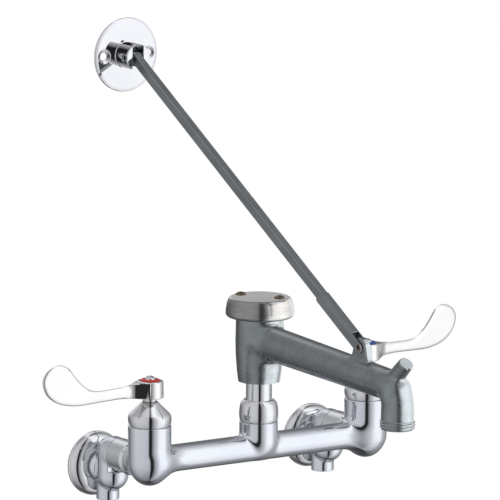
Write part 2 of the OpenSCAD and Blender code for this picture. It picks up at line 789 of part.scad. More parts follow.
module lug_solid() {
    centre = [pin_y, pin_z];
    base_z = pin_z - lug_height + 4;
    back = [pin_y + 14.5, base_z];
    front = [pin_y - 12.5, base_z];
    translate([-lug_t / 2, 0, 0]) rotate([90, 0, 90]) linear_extrude(height = lug_t) union() {
        translate(centre) circle(r = lug_r);
        polygon([
            front, back,
            tangent_point(back, centre, lug_r, 1),
            centre,
            tangent_point(front, centre, lug_r, -1)
        ]);
    }
}

module spout_casting() {
    color(satin) difference() {
        union() {
            at_column() breaker_column();
            arm_solid();
            elbow_bend(arm_tip_r + elbow_step);
            translate(corner) sphere(r = corner_r);
            outlet_solid();
            pail_hook();
            lug_solid();
        }
        at_column() {
            translate([0, 0, column_z - 1]) cylinder(h = tube_socket + 1 + gap, r = tube_r + slip);
            translate([0, 0, column_z]) cylinder(h = tube_socket + 3, r = tube_bore_r);
            translate([0, 0, breaker_floor]) cylinder(h = column_h, r = breaker_r);
            translate([0, 0, vent_seat_z]) cylinder(h = column_h, r = vent_seat_r);
            for (turn = [0:90:270]) rotate([0, 0, cap_screw_angle + 45 + turn])
                translate([10, -3, column_top - 3]) cube([12, 6, 4]);
            for (turn = [0, 180]) rotate([0, 0, cap_screw_angle + turn])
                translate([cap_screw_out, 0, column_top - 9]) cylinder(h = 10, r = cap_screw_r + running, $fn = 24);
        }
        along_arm() translate([0, 0, arm_bore_start])
            cylinder(h = arm_length - arm_bore_start + 0.5, r = arm_bore_r);
        elbow_bend(arm_bore_r - elbow_step);
        translate([0, outlet_y, outlet_low - 1])
            cylinder(h = elbow_centre[2] - outlet_low + 1.5, r = outlet_bore_r);
        translate([-lug_t, pin_y, pin_z]) rotate([0, 90, 0])
            cylinder(h = 2 * lug_t, r = brace_pin_r + running, $fn = 32);
    }
}

module breaker_seat() {
    color(brass) at_column() ring(breaker_r - slip, tube_bore_r - 0.5, breaker_floor, breaker_floor + seat_h);
}

// The float rises with the water, opens the way to the arm and closes the air vent
module breaker_float() {
    low = breaker_floor + seat_h + float_gap;
    high = vent_seat_z - float_lift - float_gap;
    disc_r = breaker_r - 2.3;
    color(rubber) at_column() union() {
        lathe([
            [0, low], [disc_r, low], [disc_r, low + float_disc_h], [3, low + float_disc_h + 1.2],
            [3, high - float_disc_h - 1.2], [9, high - float_disc_h], [9, high], [0, high]
        ]);
        intersection() {
            for (turn = [0:60:120]) rotate([0, 0, turn])
                translate([-breaker_r, -0.8, low]) cube([2 * breaker_r, 1.6, float_disc_h]);
            translate([0, 0, low]) cylinder(h = float_disc_h, r = breaker_r - slip);
        }
    }
}

module vent_seat() {
    color(brass) at_column() ring(vent_seat_r - slip, 6, vent_seat_z, vent_seat_z + vent_seat_h);
}

module breaker_cap() {
    skirt = cap_h * 0.26;
    inner_r = cap_r - cap_wall - 0.3;
    top_r = cap_r - 4;
    ceiling = cap_top - 3.6;
    color(nickel) at_column() difference() {
        lathe(concat(
            [[0, cap_bottom], [cap_r - 2.4, cap_bottom]],
            arc(cap_r - 3, cap_bottom + 3, 3, -75, -5, 6),
            [[cap_r, cap_bottom + skirt], [cap_r - 0.9, cap_bottom + 0.62 * cap_h]],
            arc(top_r - 0.6, cap_top - 2.6, 2.6, 20, 90, 6),
            [[0, cap_top]]
        ));
        difference() {
            translate([0, 0, cap_bottom - 1]) cylinder(h = ceiling - cap_bottom + 1, r = inner_r - 1.2);
            translate([0, 0, column_top]) cylinder(h = cap_h, r = column_top_r);
        }
        translate([0, 0, column_top - 1]) cylinder(h = ceiling - column_top + 1, r = vent_seat_r - 1.2);
        for (turn = [0, 180]) rotate([0, 0, cap_screw_angle + turn])
            translate([cap_screw_out, 0, column_top - 1]) cylinder(h = cap_h, r = cap_screw_r + slip, $fn = 24);
    }
}

module cap_screws() {
    head_r = 4.15;
    head_h = 2.6;
    color(brass) at_column() for (turn = [0, 180]) rotate([0, 0, cap_screw_angle + turn])
        translate([cap_screw_out, 0, 0]) difference() {
            union() {
                translate([0, 0, column_top - 8]) cylinder(h = cap_top - column_top + 9, r = cap_screw_r, $fn = 24);
                translate([0, 0, cap_top]) rotate_extrude($fn = 32) polygon(concat(
                    [[0, 0], [head_r, 0], [head_r, 0.8]],
                    oval(0.8, head_r, head_h - 0.8, 15, 90, 5)
                ));
            }
            translate([-head_r - 1, -0.55, cap_top + head_h - 1.3]) cube([2 * head_r + 2, 1.1, 2]);
        }
}

// Side view of one clevis leg, rounded at the pin and chamfered at the upper end
module leg_outline() {
    end_r = channel_d / 2;
    high = channel_low + channel_d;
    union() {
        translate([0, channel_mid]) circle(r = end_r);
        polygon([
            [0, channel_low], [channel_length - 1.6, channel_low], [channel_length, channel_low + 1.6],
            [channel_length, high - 1.6], [channel_length - 1.6, high], [0, high]
        ]);
    }
}

module brace_clevis() {
    color(steel) on_brace() difference() {
        union() {
            for (x = [-channel_w / 2, channel_w / 2 - channel_t]) translate([x, 0, 0])
                rotate([90, 0, 90]) linear_extrude(height = channel_t) leg_outline();
            translate([-channel_w / 2 + channel_t / 2, channel_cut, channel_low])
                cube([channel_w - channel_t, channel_length - channel_cut - 1.6, channel_t]);
        }
        rotate([0, 90, 0]) cylinder(h = 2 * channel_w, r = brace_pin_r + running / 2, center = true, $fn = 32);
    }
}

// A straight bar with a shallow groove along its upper face and an eye at the wall flange
module brace_bar() {
    groove_w = 2.2;
    groove_depth = 0.5;
    color(steel) on_brace() difference() {
        union() {
            translate([-brace_w / 2, bar_start, -brace_d / 2])
                cube([brace_w, brace_length - bar_start, brace_d]);
            translate([-brace_w / 2, brace_length, 0]) rotate([0, 90, 0])
                cylinder(h = brace_w, r = brace_d / 2);
        }
        translate([-groove_w / 2, channel_length + 3, brace_d / 2 - groove_depth])
            cube([groove_w, brace_length - channel_length - 14, 1]);
        translate([-brace_w, brace_length, 0]) rotate([0, 90, 0])
            cylinder(h = 2 * brace_w, r = flange_pivot_r + running, $fn = 32);
    }
}

module brace_pin() {
    half = channel_w / 2 + 0.15;
    color(brass) on_brace() rotate([0, 90, 0]) difference() {
        cylinder(h = 2 * half, r = brace_pin_r, center = true, $fn = 32);
        cylinder(h = 2 * half + 2, r = brace_pin_r * 0.5, center = true, $fn = 32);
    }
}

module wall_flange() {
    rim_r = flange_d / 2;
    back = flange_pivot_out + flange_t;
    color(chrome) on_flange() difference() {
        union() {
            translate([0, back, 0]) rotate([90, 0, 0]) lathe([
                [0, 0], [rim_r, 0], [rim_r, flange_t * 0.4], [rim_r - 0.5, flange_t * 0.6],
                [rim_r - 2.5, flange_t - 0.3], [flange_boss_r + 2, flange_t], [0, flange_t]
            ]);
            translate([0, back - 1, 0]) rotate([90, 0, 0])
                cylinder(h = back - 1 + pivot_nose - 0.5, r = flange_boss_r);
            translate([0, -pivot_nose + 0.5, 0]) rotate([90, 0, 0])
                cylinder(h = 0.5, r1 = flange_boss_r, r2 = flange_boss_r - 0.5);
        }
        translate([-flange_slot / 2, -pivot_nose - 1, -flange_boss_r - 1])
            cube([flange_slot, pivot_nose + 1 + flange_pivot_out, 2 * flange_boss_r + 2]);
        translate([-flange_boss_r - 1, 0, 0]) rotate([0, 90, 0])
            cylinder(h = 2 * flange_boss_r + 2, r = flange_pivot_r + running, $fn = 32);
        translate([-flange_boss_r - 1, 0, 0]) rotate([0, 90, 0])
            cylinder(h = flange_head_h + flange_head_recess + 1, r = flange_head_r + slip, $fn = 32);
        for (side = [-1, 1]) translate([side * flange_screw_spacing / 2, 0, 0]) {
            translate([0, back + 1, 0]) rotate([90, 0, 0]) cylinder(h = flange_t + 2, r = flange_hole_r);
            translate([0, back - sink_floor, 0]) rotate([90, 0, 0])
                cylinder(h = flange_t - sink_floor, r1 = flange_hole_r, r2 = sink_r);
        }
    }
}

module flange_pivot_screw() {
    start = -flange_boss_r + flange_head_recess;
    color(steel) on_flange() translate([start, 0, 0]) rotate([0, 90, 0]) difference() {
        union() {
            cylinder(h = flange_head_h, r = flange_head_r, $fn = 32);
            cylinder(h = 2 * (flange_boss_r - flange_head_recess) - 0.4, r = flange_pivot_r, $fn = 32);
        }
        translate([0, 0, -1]) cylinder(h = 3.2, r = 1.7, $fn = 6);
    }
}

body_casting();
escutcheon(hot);  // hot_escutcheon
escutcheon(cold);  // cold_escutcheon
stop_body(hot);  // hot_stop_body
stop_body(cold);  // cold_stop_body
stop_gland(hot);  // hot_stop_gland
stop_gland(cold);  // cold_stop_gland
stop_stem(hot);  // hot_stop_stem
stop_stem(cold);  // cold_stop_stem
inlet_nut(hot);  // hot_inlet_nut
inlet_nut(cold);  // cold_inlet_nut
inlet_washer(hot);  // hot_inlet_washer
inlet_washer(cold);  // cold_inlet_washer
cartridge(hot);  // hot_cartridge
cartridge(cold);  // cold_cartridge
bonnet(hot);  // hot_bonnet
bonnet(cold);  // cold_bonnet
stem(hot);  // hot_stem
stem(cold);  // cold_stem
handle(hot);  // hot_handle
handle(cold);  // cold_handle
index_ring(hot);  // hot_index_ring
index_ring(cold);  // cold_index_ring
handle_screw(hot);  // hot_handle_screw
handle_screw(cold);  // cold_handle_screw
spout_nut();
swivel_washer();
swivel_tube();
spout_casting();
breaker_seat();
breaker_float();
vent_seat();
breaker_cap();
cap_screws();
brace_clevis();
brace_bar();
brace_pin();
wall_flange();
flange_pivot_screw();
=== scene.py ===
"""Looks of a wall-mount service faucet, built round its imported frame.

Shapes are written in millimetres, in the frame's own axes, and become metres when their mesh is made.
"""

import json
import math
from math import cos, pi, sin

import bpy
import numpy as np
from mathutils import Matrix, Vector
from numpy import clip, hypot, interp, maximum, minimum, sqrt, where


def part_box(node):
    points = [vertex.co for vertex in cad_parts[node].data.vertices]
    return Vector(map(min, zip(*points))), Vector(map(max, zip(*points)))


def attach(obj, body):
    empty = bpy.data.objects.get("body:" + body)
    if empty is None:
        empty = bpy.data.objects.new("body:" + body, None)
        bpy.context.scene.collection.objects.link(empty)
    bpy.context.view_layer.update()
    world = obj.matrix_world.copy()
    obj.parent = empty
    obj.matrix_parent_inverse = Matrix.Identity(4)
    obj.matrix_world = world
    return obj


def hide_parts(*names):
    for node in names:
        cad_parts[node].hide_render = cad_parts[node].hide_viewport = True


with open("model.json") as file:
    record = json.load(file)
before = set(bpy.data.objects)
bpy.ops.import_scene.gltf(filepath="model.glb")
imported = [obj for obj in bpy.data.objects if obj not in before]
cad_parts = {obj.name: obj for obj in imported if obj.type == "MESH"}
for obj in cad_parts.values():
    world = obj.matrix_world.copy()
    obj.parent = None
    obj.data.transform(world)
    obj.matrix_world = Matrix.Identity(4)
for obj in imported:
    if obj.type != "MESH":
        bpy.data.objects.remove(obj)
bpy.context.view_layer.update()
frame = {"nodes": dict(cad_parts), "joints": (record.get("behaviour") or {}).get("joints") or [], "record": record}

MM = 0.001
DEGREE = pi / 180
TINY = 1e-9
SIDES = {"hot": -1, "cold": 1}

# Places taken from the frame, in millimetres

joints = {j["name"]: j for j in frame["joints"]}
mounts = {m["name"]: m for m in frame["record"]["mounts"]}


def joint_place(name):
    return np.array(joints[name]["pos_m"]) / MM


def low_corner(node):
    return np.array(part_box(node)[0]) / MM


def high_corner(node):
    return np.array(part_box(node)[1]) / MM


def half_width(node):
    return (high_corner(node)[0] - low_corner(node)[0]) / 2


valve_x, valve_y = joint_place("cold_handle_turn")[:2]
leg_y = joint_place("cold_stop_turn")[1]
pin_place = joint_place("brace_fold")
pivot_place = joint_place("flange_tilt")
outlet_y = np.array(mounts["outlet_thread"]["pos_m"])[1] / MM
barrel_low = low_corner("body_casting")[2]
bonnet_thread_h = 5.0
barrel_top = low_corner("hot_bonnet")[2] + bonnet_thread_h
bonnet_top = high_corner("hot_bonnet")[2]
boss_top = low_corner("spout_nut")[2]
nut_top = high_corner("spout_nut")[2]

# Meshes from distance fields
# A field takes x, y and z arrays in millimetres and gives the distance to the surface, negative inside.


def smooth_min(a, b, k):
    """The smaller of two fields, with the corner between them filled where they differ by less than k."""
    h = maximum(k - abs(a - b), 0.0) / k
    return minimum(a, b) - h * h * h * k / 6.0


def smooth_max(a, b, k):
    return -smooth_min(-a, -b, k)


def surface_mesh(field, low, high, cell):
    """Vertices, quads and normals of the zero surface of a field, one vertex in each cell that it crosses."""
    axes = [np.arange(a, b + cell, cell, dtype=np.float32) for a, b in zip(low, high)]
    values = np.stack([field(*np.meshgrid([x], axes[1], axes[2], indexing="ij"))[0] for x in axes[0]])
    cells = np.array(values.shape) - 1
    inside = values < 0
    sums = np.zeros((int(np.prod(cells)), 3))
    counts = np.zeros(len(sums))
    quads = []
    for axis in range(3):
        # Grid edges along this axis that cross the surface, and where they cross it
        across = [a for a in range(3) if a != axis]
        first = tuple(slice(0, -1) if a == axis else slice(None) for a in range(3))
        last = tuple(slice(1, None) if a == axis else slice(None) for a in range(3))
        a, b = values[first], values[last]
        crossed = inside[first] != inside[last]
        edges = np.argwhere(crossed)
        points = edges.astype(float)
        points[:, axis] += a[crossed] / (a[crossed] - b[crossed])
        # The four cells round an edge share its crossing point, and their vertices make a quad
        whole = np.ones(len(edges), bool)
        corners = []
        for steps in ((0, 0), (-1, 0), (-1, -1), (0, -1)):
            beside = edges.copy()
            beside[:, across] += steps
            valid = ((beside >= 0) & (beside < cells)).all(1)
            whole &= valid
            flat = np.ravel_multi_index(clip(beside, 0, cells - 1).T, cells)
            corners.append(flat)
            used = flat[valid]
            counts += np.bincount(used, minlength=len(counts))
            for k in range(3):
                sums[:, k] += np.bincount(used, weights=points[valid, k], minlength=len(counts))
        faces = np.stack(corners, 1)[whole]
        outward = inside[first][crossed][whole]
        if axis == 1:
            outward = ~outward
        faces[~outward] = faces[~outward][:, ::-1]
        quads.append(faces)
    used = counts > 0
    index = np.full(len(counts), -1)
    index[used] = np.arange(int(used.sum()))
    vertices = sums[used] / counts[used, None] * cell + np.array(low)
    return settle(field, vertices, index[np.concatenate(quads)], cell)


def lengths(vectors):
    return maximum(np.linalg.norm(vectors, axis=1, keepdims=True), TINY)


def gradient(field, p, step=0.02):
    slopes = [(field(*(p + d).T) - field(*(p - d).T)) / (2 * step) for d in step * np.eye(3)]
    return np.stack(slopes, 1)


def project(field, p, cell, rounds=2, least_slope=0.05):
    """Moves points down the slope of a field to its surface, by at most one cell in each round."""
    for _ in range(rounds):
        g = gradient(field, p)
        slope = maximum((g * g).sum(1), least_slope)
        move = (field(*p.T) / slope)[:, None] * g
        p = p - move * minimum(1.0, cell / lengths(move))
    return p


def settle(field, p, quads, cell, rounds=4, ease=0.6):
    """Spreads the vertices evenly over the surface, and gives the surface's own normals."""
    ends = np.concatenate([quads[:, [i, (i + 1) % 4]] for i in range(4)])
    ends = np.concatenate([ends, ends[:, ::-1]])
    degree = maximum(np.bincount(ends[:, 0], minlength=len(p)), 1)
    p = project(field, p, cell)
    for _ in range(rounds):
        sums = [np.bincount(ends[:, 0], weights=p[ends[:, 1], k], minlength=len(p)) for k in range(3)]
        p = project(field, p + ease * (np.stack(sums, 1) / degree[:, None] - p), cell, 1)
    p = project(field, p, cell)
    normals = gradient(field, p)
    return p, quads, normals / lengths(normals)


def new_object(name, data):
    thing = bpy.data.objects.new(name, data)
    bpy.context.scene.collection.objects.link(thing)
    return thing


def mesh_piece(name, points, faces, normals=None):
    mesh = bpy.data.meshes.new(name)
    mesh.from_pydata((np.asarray(points) * MM).tolist(), [], [list(f) for f in faces])
    mesh.validate()
    mesh.shade_smooth()
    if normals is not None and len(normals) == len(mesh.vertices):
        mesh.normals_split_custom_set_from_vertices(np.asarray(normals).tolist())
    return new_object(name, mesh)


def at(x, y, z, turn=Matrix.Identity(4)):
    return Matrix.Translation((x, y, z)) @ turn


def moved(mesh, place):
    points, faces, normals = mesh
    turn = np.array(place.to_3x3())
    return points @ turn.T + np.array(place.translation), faces, normals @ turn.T


def field_piece(name, field, low, high, cell, place=Matrix.Identity(4)):
    return mesh_piece(name, *moved(surface_mesh(field, low, high, cell), place))


# Fields of plain bodies


def capped(radial, along, r, low, high, edge=0.0):
    """A cylinder from its radial and axial distances, with edges rounded by edge."""
    side = radial - r + edge
    ends = maximum(low - along, along - high) + edge
    return minimum(maximum(side, ends), 0) + hypot(maximum(side, 0), maximum(ends, 0)) - edge


def upright(x, y, z, r, low, high):
    """A cylinder along Z."""
    return capped(hypot(x, y), z, r, low, high)


def oval(x, y, z, radii):
    """An ellipsoid, with distances that are true close to its surface."""
    k0 = sqrt((x / radii[0]) ** 2 + (y / radii[1]) ** 2 + (z / radii[2]) ** 2)
    k1 = sqrt((x / radii[0] ** 2) ** 2 + (y / radii[1] ** 2) ** 2 + (z / radii[2] ** 2) ** 2)
    return k0 * (k0 - 1.0) / maximum(k1, 1e-6)


def box_field(x, y, z, half, edge=0.0):
    q = [abs(v) - h + edge for v, h in zip((x, y, z), half)]
    outside = sqrt(sum(maximum(v, 0) ** 2 for v in q))
    return outside + minimum(maximum(maximum(q[0], q[1]), q[2]), 0) - edge


def outline_distance(u, v, points):
    """Distance from (u, v) to a closed outline, negative inside."""
    best = np.full(u.shape, 1e9)
    sign = np.ones(u.shape)
    for (x0, y0), (x1, y1) in zip(points, points[1:] + points[:1]):
        ex, ey = x1 - x0, y1 - y0
        wx, wy = u - x0, v - y0
        t = clip((wx * ex + wy * ey) / (ex * ex + ey * ey), 0, 1)
        best = minimum(best, (wx - ex * t) ** 2 + (wy - ey * t) ** 2)
        above, below = v >= y0, v < y1
        turn = ex * wy > ey * wx
        flips = (above & below & turn) | (~above & ~below & ~turn)
        sign = where(flips, -sign, sign)
    return sign * sqrt(best)


# Turned pieces


def arc(centre, radii, start, end, count):
    """Points along an oval arc, between two angles in radians."""
    return [(centre[0] + radii[0] * cos(a), centre[1] + radii[1] * sin(a))
            for a in np.linspace(start, end, count)]


def rounded(corners, steps=5):
    """An outline of (radius, height) points from corners of (radius, height, fillet)."""
    folded, straight = 4 * DEGREE, 89 * DEGREE
    edge_share = 0.49
    points = []
    for i, (r, z, fillet) in enumerate(corners):
        here = Vector((r, z))
        before = Vector(corners[i - 1][:2]) - here
        after = Vector(corners[(i + 1) % len(corners)][:2]) - here
        half = before.angle(after, 0.0) / 2
        if fillet <= 0 or not folded < half < straight:
            points.append((r, z))
            continue
        reach = min(fillet / math.tan(half), before.length * edge_share, after.length * edge_share)
        fillet = reach * math.tan(half)
        before.normalize()
        after.normalize()
        centre = here + (before + after).normalized() * (fillet / sin(half))
        start = here + before * reach - centre
        end = here + after * reach - centre
        sweep = start.angle_signed(end)
        for k in range(steps + 1):
            p = centre + Matrix.Rotation(-sweep * k / steps, 2) @ start
            points.append((max(p.x, 0.0), p.y))
    return points


def turned(name, outline, place, segments=128, closed=True):
    """A solid of revolution about Z: a ring, or, if not closed, a solid whose outline ends on the axis."""
    rows = np.array(outline, float)
    count = len(rows)
    on_axis = rows[:, 0] < 1e-6
    pairs = [(i, (i + 1) % count) for i in range(count if closed else count - 1)]
    slopes = np.zeros_like(rows)
    for i, j in pairs:
        across = np.array([rows[j][1] - rows[i][1], rows[i][0] - rows[j][0]])
        slopes[i] += across
        slopes[j] += across
    slopes /= lengths(slopes)
    points, normals, first = [], [], []
    angle = np.arange(segments) * 2 * pi / segments
    for (r, z), (nr, nz), single in zip(rows, slopes, on_axis):
        first.append(len(points))
        if single:
            points.append((0.0, 0.0, z))
            normals.append((0.0, 0.0, 1.0 if nz > 0 else -1.0))
        else:
            points.extend((r * cos(a), r * sin(a), z) for a in angle)
            normals.extend((nr * cos(a), nr * sin(a), nz) for a in angle)
    faces = []
    for i, j in pairs:
        a, b = first[i], first[j]
        for k in range(segments):
            n = (k + 1) % segments
            if on_axis[i]:
                faces.append((a, b + n, b + k))
            elif on_axis[j]:
                faces.append((a + k, a + n, b))
            else:
                faces.append((a + k, a + n, b + n, b + k))
    return mesh_piece(name, *moved((np.array(points), faces, np.array(normals)), place))


# Materials


class Nodes:
    """A short way to build a node tree. An input takes another node's output or a plain value."""

    def __init__(self, tree):
        self.tree = tree

    def put(self, value, socket):
        if isinstance(value, bpy.types.NodeSocket):
            self.tree.links.new(value, socket)
        else:
            socket.default_value = value

    def add(self, kind, *inputs, **settings):
        """A new node, with its first inputs given in order."""
        node = self.tree.nodes.new(kind)
        for key, value in settings.items():
            setattr(node, key, value)
        for socket, value in zip(node.inputs, inputs):
            self.put(value, socket)
        return node

    def feed(self, node, **inputs):
        """Gives a node inputs by name, with an underscore for a space."""
        for name, value in inputs.items():
            self.put(value, node.inputs[name.replace("_", " ")])

    def tones(self, value, *stops):
        """A colour ramp, with its stops from left to right, each a place and a colour."""
        node = self.add("ShaderNodeValToRGB", value)
        elements = node.color_ramp.elements
        elements[1].position = stops[-1][0]
        elements[0].position = stops[0][0]
        for place, _ in stops[1:-1]:
            elements.new(place)
        for element, (_, colour) in zip(elements, stops):
            element.color = (*colour, 1)
        return node.outputs["Color"]


class Surface(Nodes):
    """A material's nodes."""

    def __init__(self, name):
        self.material = bpy.data.materials.new(name)
        self.material.use_nodes = True
        super().__init__(self.material.node_tree)
        self.shader = self.tree.nodes["Principled BSDF"]
        self.place = self.add("ShaderNodeTexCoord").outputs["Object"]

    def noise(self, scale, detail, stretch=(1, 1, 1)):
        mapping = self.add("ShaderNodeMapping")
        self.feed(mapping, Vector=self.place, Scale=stretch)
        noise = self.add("ShaderNodeTexNoise")
        self.feed(noise, Vector=mapping.outputs[0], Scale=scale, Detail=detail)
        return noise.outputs["Fac"]

    def spread(self, value, low, high):
        """Stretches the middle of a noise over a range."""
        node = self.add("ShaderNodeMapRange")
        self.feed(node, Value=value, From_Min=0.3, From_Max=0.7, To_Min=low, To_Max=high)
        return node.outputs["Result"]

    def bump(self, height, strength, distance, under=None):
        node = self.add("ShaderNodeBump")
        self.feed(node, Height=height, Strength=strength, Distance=distance)
        if under is not None:
            self.feed(node, Normal=under)
        return node.outputs["Normal"]


def chrome(name, light, dark, rough, wave=0.0):
    """Bright plate: faint cloudiness in tone and gloss, and a slow waviness of the polished metal."""
    m = Surface(name)
    colour = m.tones(m.noise(38, 4), (0.32, dark), (0.62, light))
    gloss = m.spread(m.noise(420, 3, (1, 1, 0.3)), rough * 0.7, rough * 1.35)
    m.feed(m.shader, Metallic=1.0, Base_Color=colour, Roughness=gloss)
    if wave:
        m.feed(m.shader, Normal=m.bump(m.noise(75, 1), 1.0, wave))
    return m.material


def cast_plate(name, light, dark, rough):
    """Rough plating over an as-cast surface: fine grain, shallow pits and slow lumps."""
    m = Surface(name)
    grain = m.noise(900, 4)
    pits = m.add("ShaderNodeTexVoronoi", feature="SMOOTH_F1")
    m.feed(pits, Vector=m.place, Scale=620)
    normal = m.bump(m.noise(110, 2), 0.35, 0.0006)
    normal = m.bump(pits.outputs["Distance"], 0.1, 0.0002, normal)
    normal = m.bump(grain, 0.13, 0.0002, normal)
    colour = m.tones(m.noise(140, 5), (0.3, dark), (0.66, light))
    gloss = m.spread(grain, rough * 0.85, rough * 1.2)
    m.feed(m.shader, Metallic=1.0, Base_Color=colour, Roughness=gloss, Normal=normal)
    return m.material


def brushed(name, light, dark, rough, stretch, scratch=0.00006):
    """Drawn or satin metal, with fine lines along it."""
    m = Surface(name)
    lines = m.noise(900, 3, stretch)
    colour = m.tones(m.noise(60, 4, stretch), (0.3, dark), (0.7, light))
    gloss = m.spread(lines, rough * 0.8, rough * 1.25)
    m.feed(m.shader, Metallic=1.0, Base_Color=colour, Roughness=gloss, Normal=m.bump(lines, 0.4, scratch))
    return m.material


def plastic(name, light, dark, rough, grain=0.00003):
    """Plastic or rubber, with a fine even grain."""
    m = Surface(name)
    colour = m.tones(m.noise(160, 3), (0.3, dark), (0.7, light))
    gloss = m.spread(m.noise(500, 2), rough * 0.8, rough * 1.3)
    m.feed(m.shader, Base_Color=colour, Roughness=gloss, Normal=m.bump(m.noise(1400, 2), 0.3, grain))
    return m.material


# Each material: its kind, light and dark tone, roughness, and what else its kind takes
RECIPES = {
    "body_chrome": (chrome, (0.64, 0.66, 0.69), (0.6, 0.62, 0.66), 0.015, 0.00002),
    "polished_chrome": (chrome, (0.66, 0.662, 0.668), (0.63, 0.633, 0.645), 0.015),
    "handle_chrome": (chrome, (0.73, 0.72, 0.705), (0.7, 0.69, 0.675), 0.03, 0.00002),
    "stem_chrome": (chrome, (0.6, 0.59, 0.57), (0.55, 0.54, 0.52), 0.12),
    "rough_chrome": (cast_plate, (0.25, 0.27, 0.277), (0.205, 0.225, 0.23), 0.27),
    "cap_nickel": (brushed, (0.3, 0.295, 0.285), (0.25, 0.245, 0.235), 0.22, (1, 1, 5), 0.00002),
    "brace_steel": (brushed, (0.3, 0.315, 0.325), (0.23, 0.245, 0.25), 0.3, (4, 0.4, 1)),
    "screw_brass": (brushed, (0.22, 0.17, 0.12), (0.12, 0.09, 0.065), 0.33, (1, 1, 1)),
    "brass": (brushed, (0.6, 0.42, 0.18), (0.48, 0.33, 0.13), 0.28, (1, 1, 4)),
    "rubber": (plastic, (0.03, 0.03, 0.032), (0.015, 0.015, 0.016), 0.6, 0.00008),
    "hot_index": (plastic, (0.68, 0.035, 0.02), (0.55, 0.02, 0.012), 0.3),
    "cold_index": (plastic, (0.02, 0.075, 0.42), (0.012, 0.05, 0.32), 0.3),
}
MATERIALS = {name: kind(name, *values) for name, (kind, *values) in RECIPES.items()}


def paint(piece, material):
    piece.data.materials.clear()
    piece.data.materials.append(MATERIALS[material])


def dress(piece, body, slot, material=None):
    """Gives a piece its body and its material, the one named by slot unless another is given. A piece called
    NODE_shell takes the place of that node.
    """
    paint(piece, material or slot)
    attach(piece, body)
    node, shell, _ = piece.name.partition("_shell")
    if shell:
        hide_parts(node)


for part in frame["record"]["subparts"]:
    paint(frame["nodes"][part["node"]], part["material_slot"])

# Body casting: two barrels, the cross bar, the centre boss and the inlet tails

bar_z = 15.0
bar_r = 10.5
barrel_r = 16.7
barrel_dome_z = bar_z + 0.5
boss_r = 14.9
boss_dome_z = bar_z + 6
boss_dome_h = bar_r + 4.5
tail_z = 12.7
tail_collar_r = 12.6
tail_tube_r = 9.5
collar_back = -55.3
tail_back = -44.9
seam_edge = 1.2
fillet_heights = [bar_z - 14, bar_z - 4, bar_z + 3, bar_z + bar_r]
fillet_widths = [11.0, 20.0, 20.0, 9.0]
tail_seat_r = 11.5
chamber_r = 12.2
chamber_floor = 24.0
tube_r = 10.05
tube_well_r = tube_r + 0.1
well_depth = 9.3


def body_field(x, y, z):
    bx, by = abs(x) - valve_x, y - valve_y
    bar = capped(hypot(by, z - bar_z), abs(x), bar_r, -1.0, valve_x)
    barrel = oval(bx, by, z - barrel_dome_z, (barrel_r, barrel_r, barrel_dome_z - barrel_low))
    barrel = where(z > barrel_dome_z, hypot(bx, by) - barrel_r, barrel)
    from_tail = hypot(bx, z - tail_z)
    tail = capped(from_tail, y, tail_collar_r, valve_y, collar_back, 2.2)
    tube = capped(from_tail, y, tail_tube_r, valve_y, tail_back, 0.5)
    barrel = smooth_min(barrel, smooth_min(tail, tube, 0.8), 2.5)
    barrel = smooth_max(barrel, z - barrel_top, seam_edge)
    boss = oval(x, by, z - boss_dome_z, (boss_r, boss_r, boss_dome_h))
    boss = where(z > boss_dome_z, hypot(x, by) - boss_r, boss)
    boss = smooth_max(boss, z - boss_top, seam_edge)
    solid = smooth_min(smooth_min(bar, boss, 5.0), barrel, interp(z, fillet_heights, fillet_widths))
    solid = minimum(solid, capped(from_tail, y, tail_seat_r, tail_back - 3, tail_back, 0.2))
    chamber = upright(bx, by, z, chamber_r, chamber_floor, barrel_top + 5)
    well = upright(x, by, z, tube_well_r, boss_top - well_depth, boss_top + 5)
    return smooth_max(solid, -minimum(chamber, well), 0.5)


piece = field_piece("body_casting_shell", body_field, (-valve_x - 19, valve_y - 19, barrel_low - 2),
                    (valve_x + 19, tail_back + 2, barrel_top + 2), 0.8)
dress(piece, "root", "body_chrome")

# Stops, inlet nuts and escutcheons, each made once and placed at both inlets

leg_r = 8.9
leg_low = -25.0
leg_dome_z = tail_z + 1.5
ball_r = 12.6
ball_y = -26.7
pod_y = -25.4
pod_z = -4.8
pod_r = 12.0
nut_back = -33.0
nut_front = -55.0
nut_edge = 0.9
shank_r = 12.2
shank_end = -17
shank_places = [shank_end, -15, -12.5, 0]
shank_radii = [7.2, 10.7, shank_r, shank_r]
supply_r = 9.6
supply_depth = -10.7
spigot_r = 11.5
spigot_end = -42.9
leg_bore_r = 6.6
gland_bore_r = 7.2
gland_h = 5.8


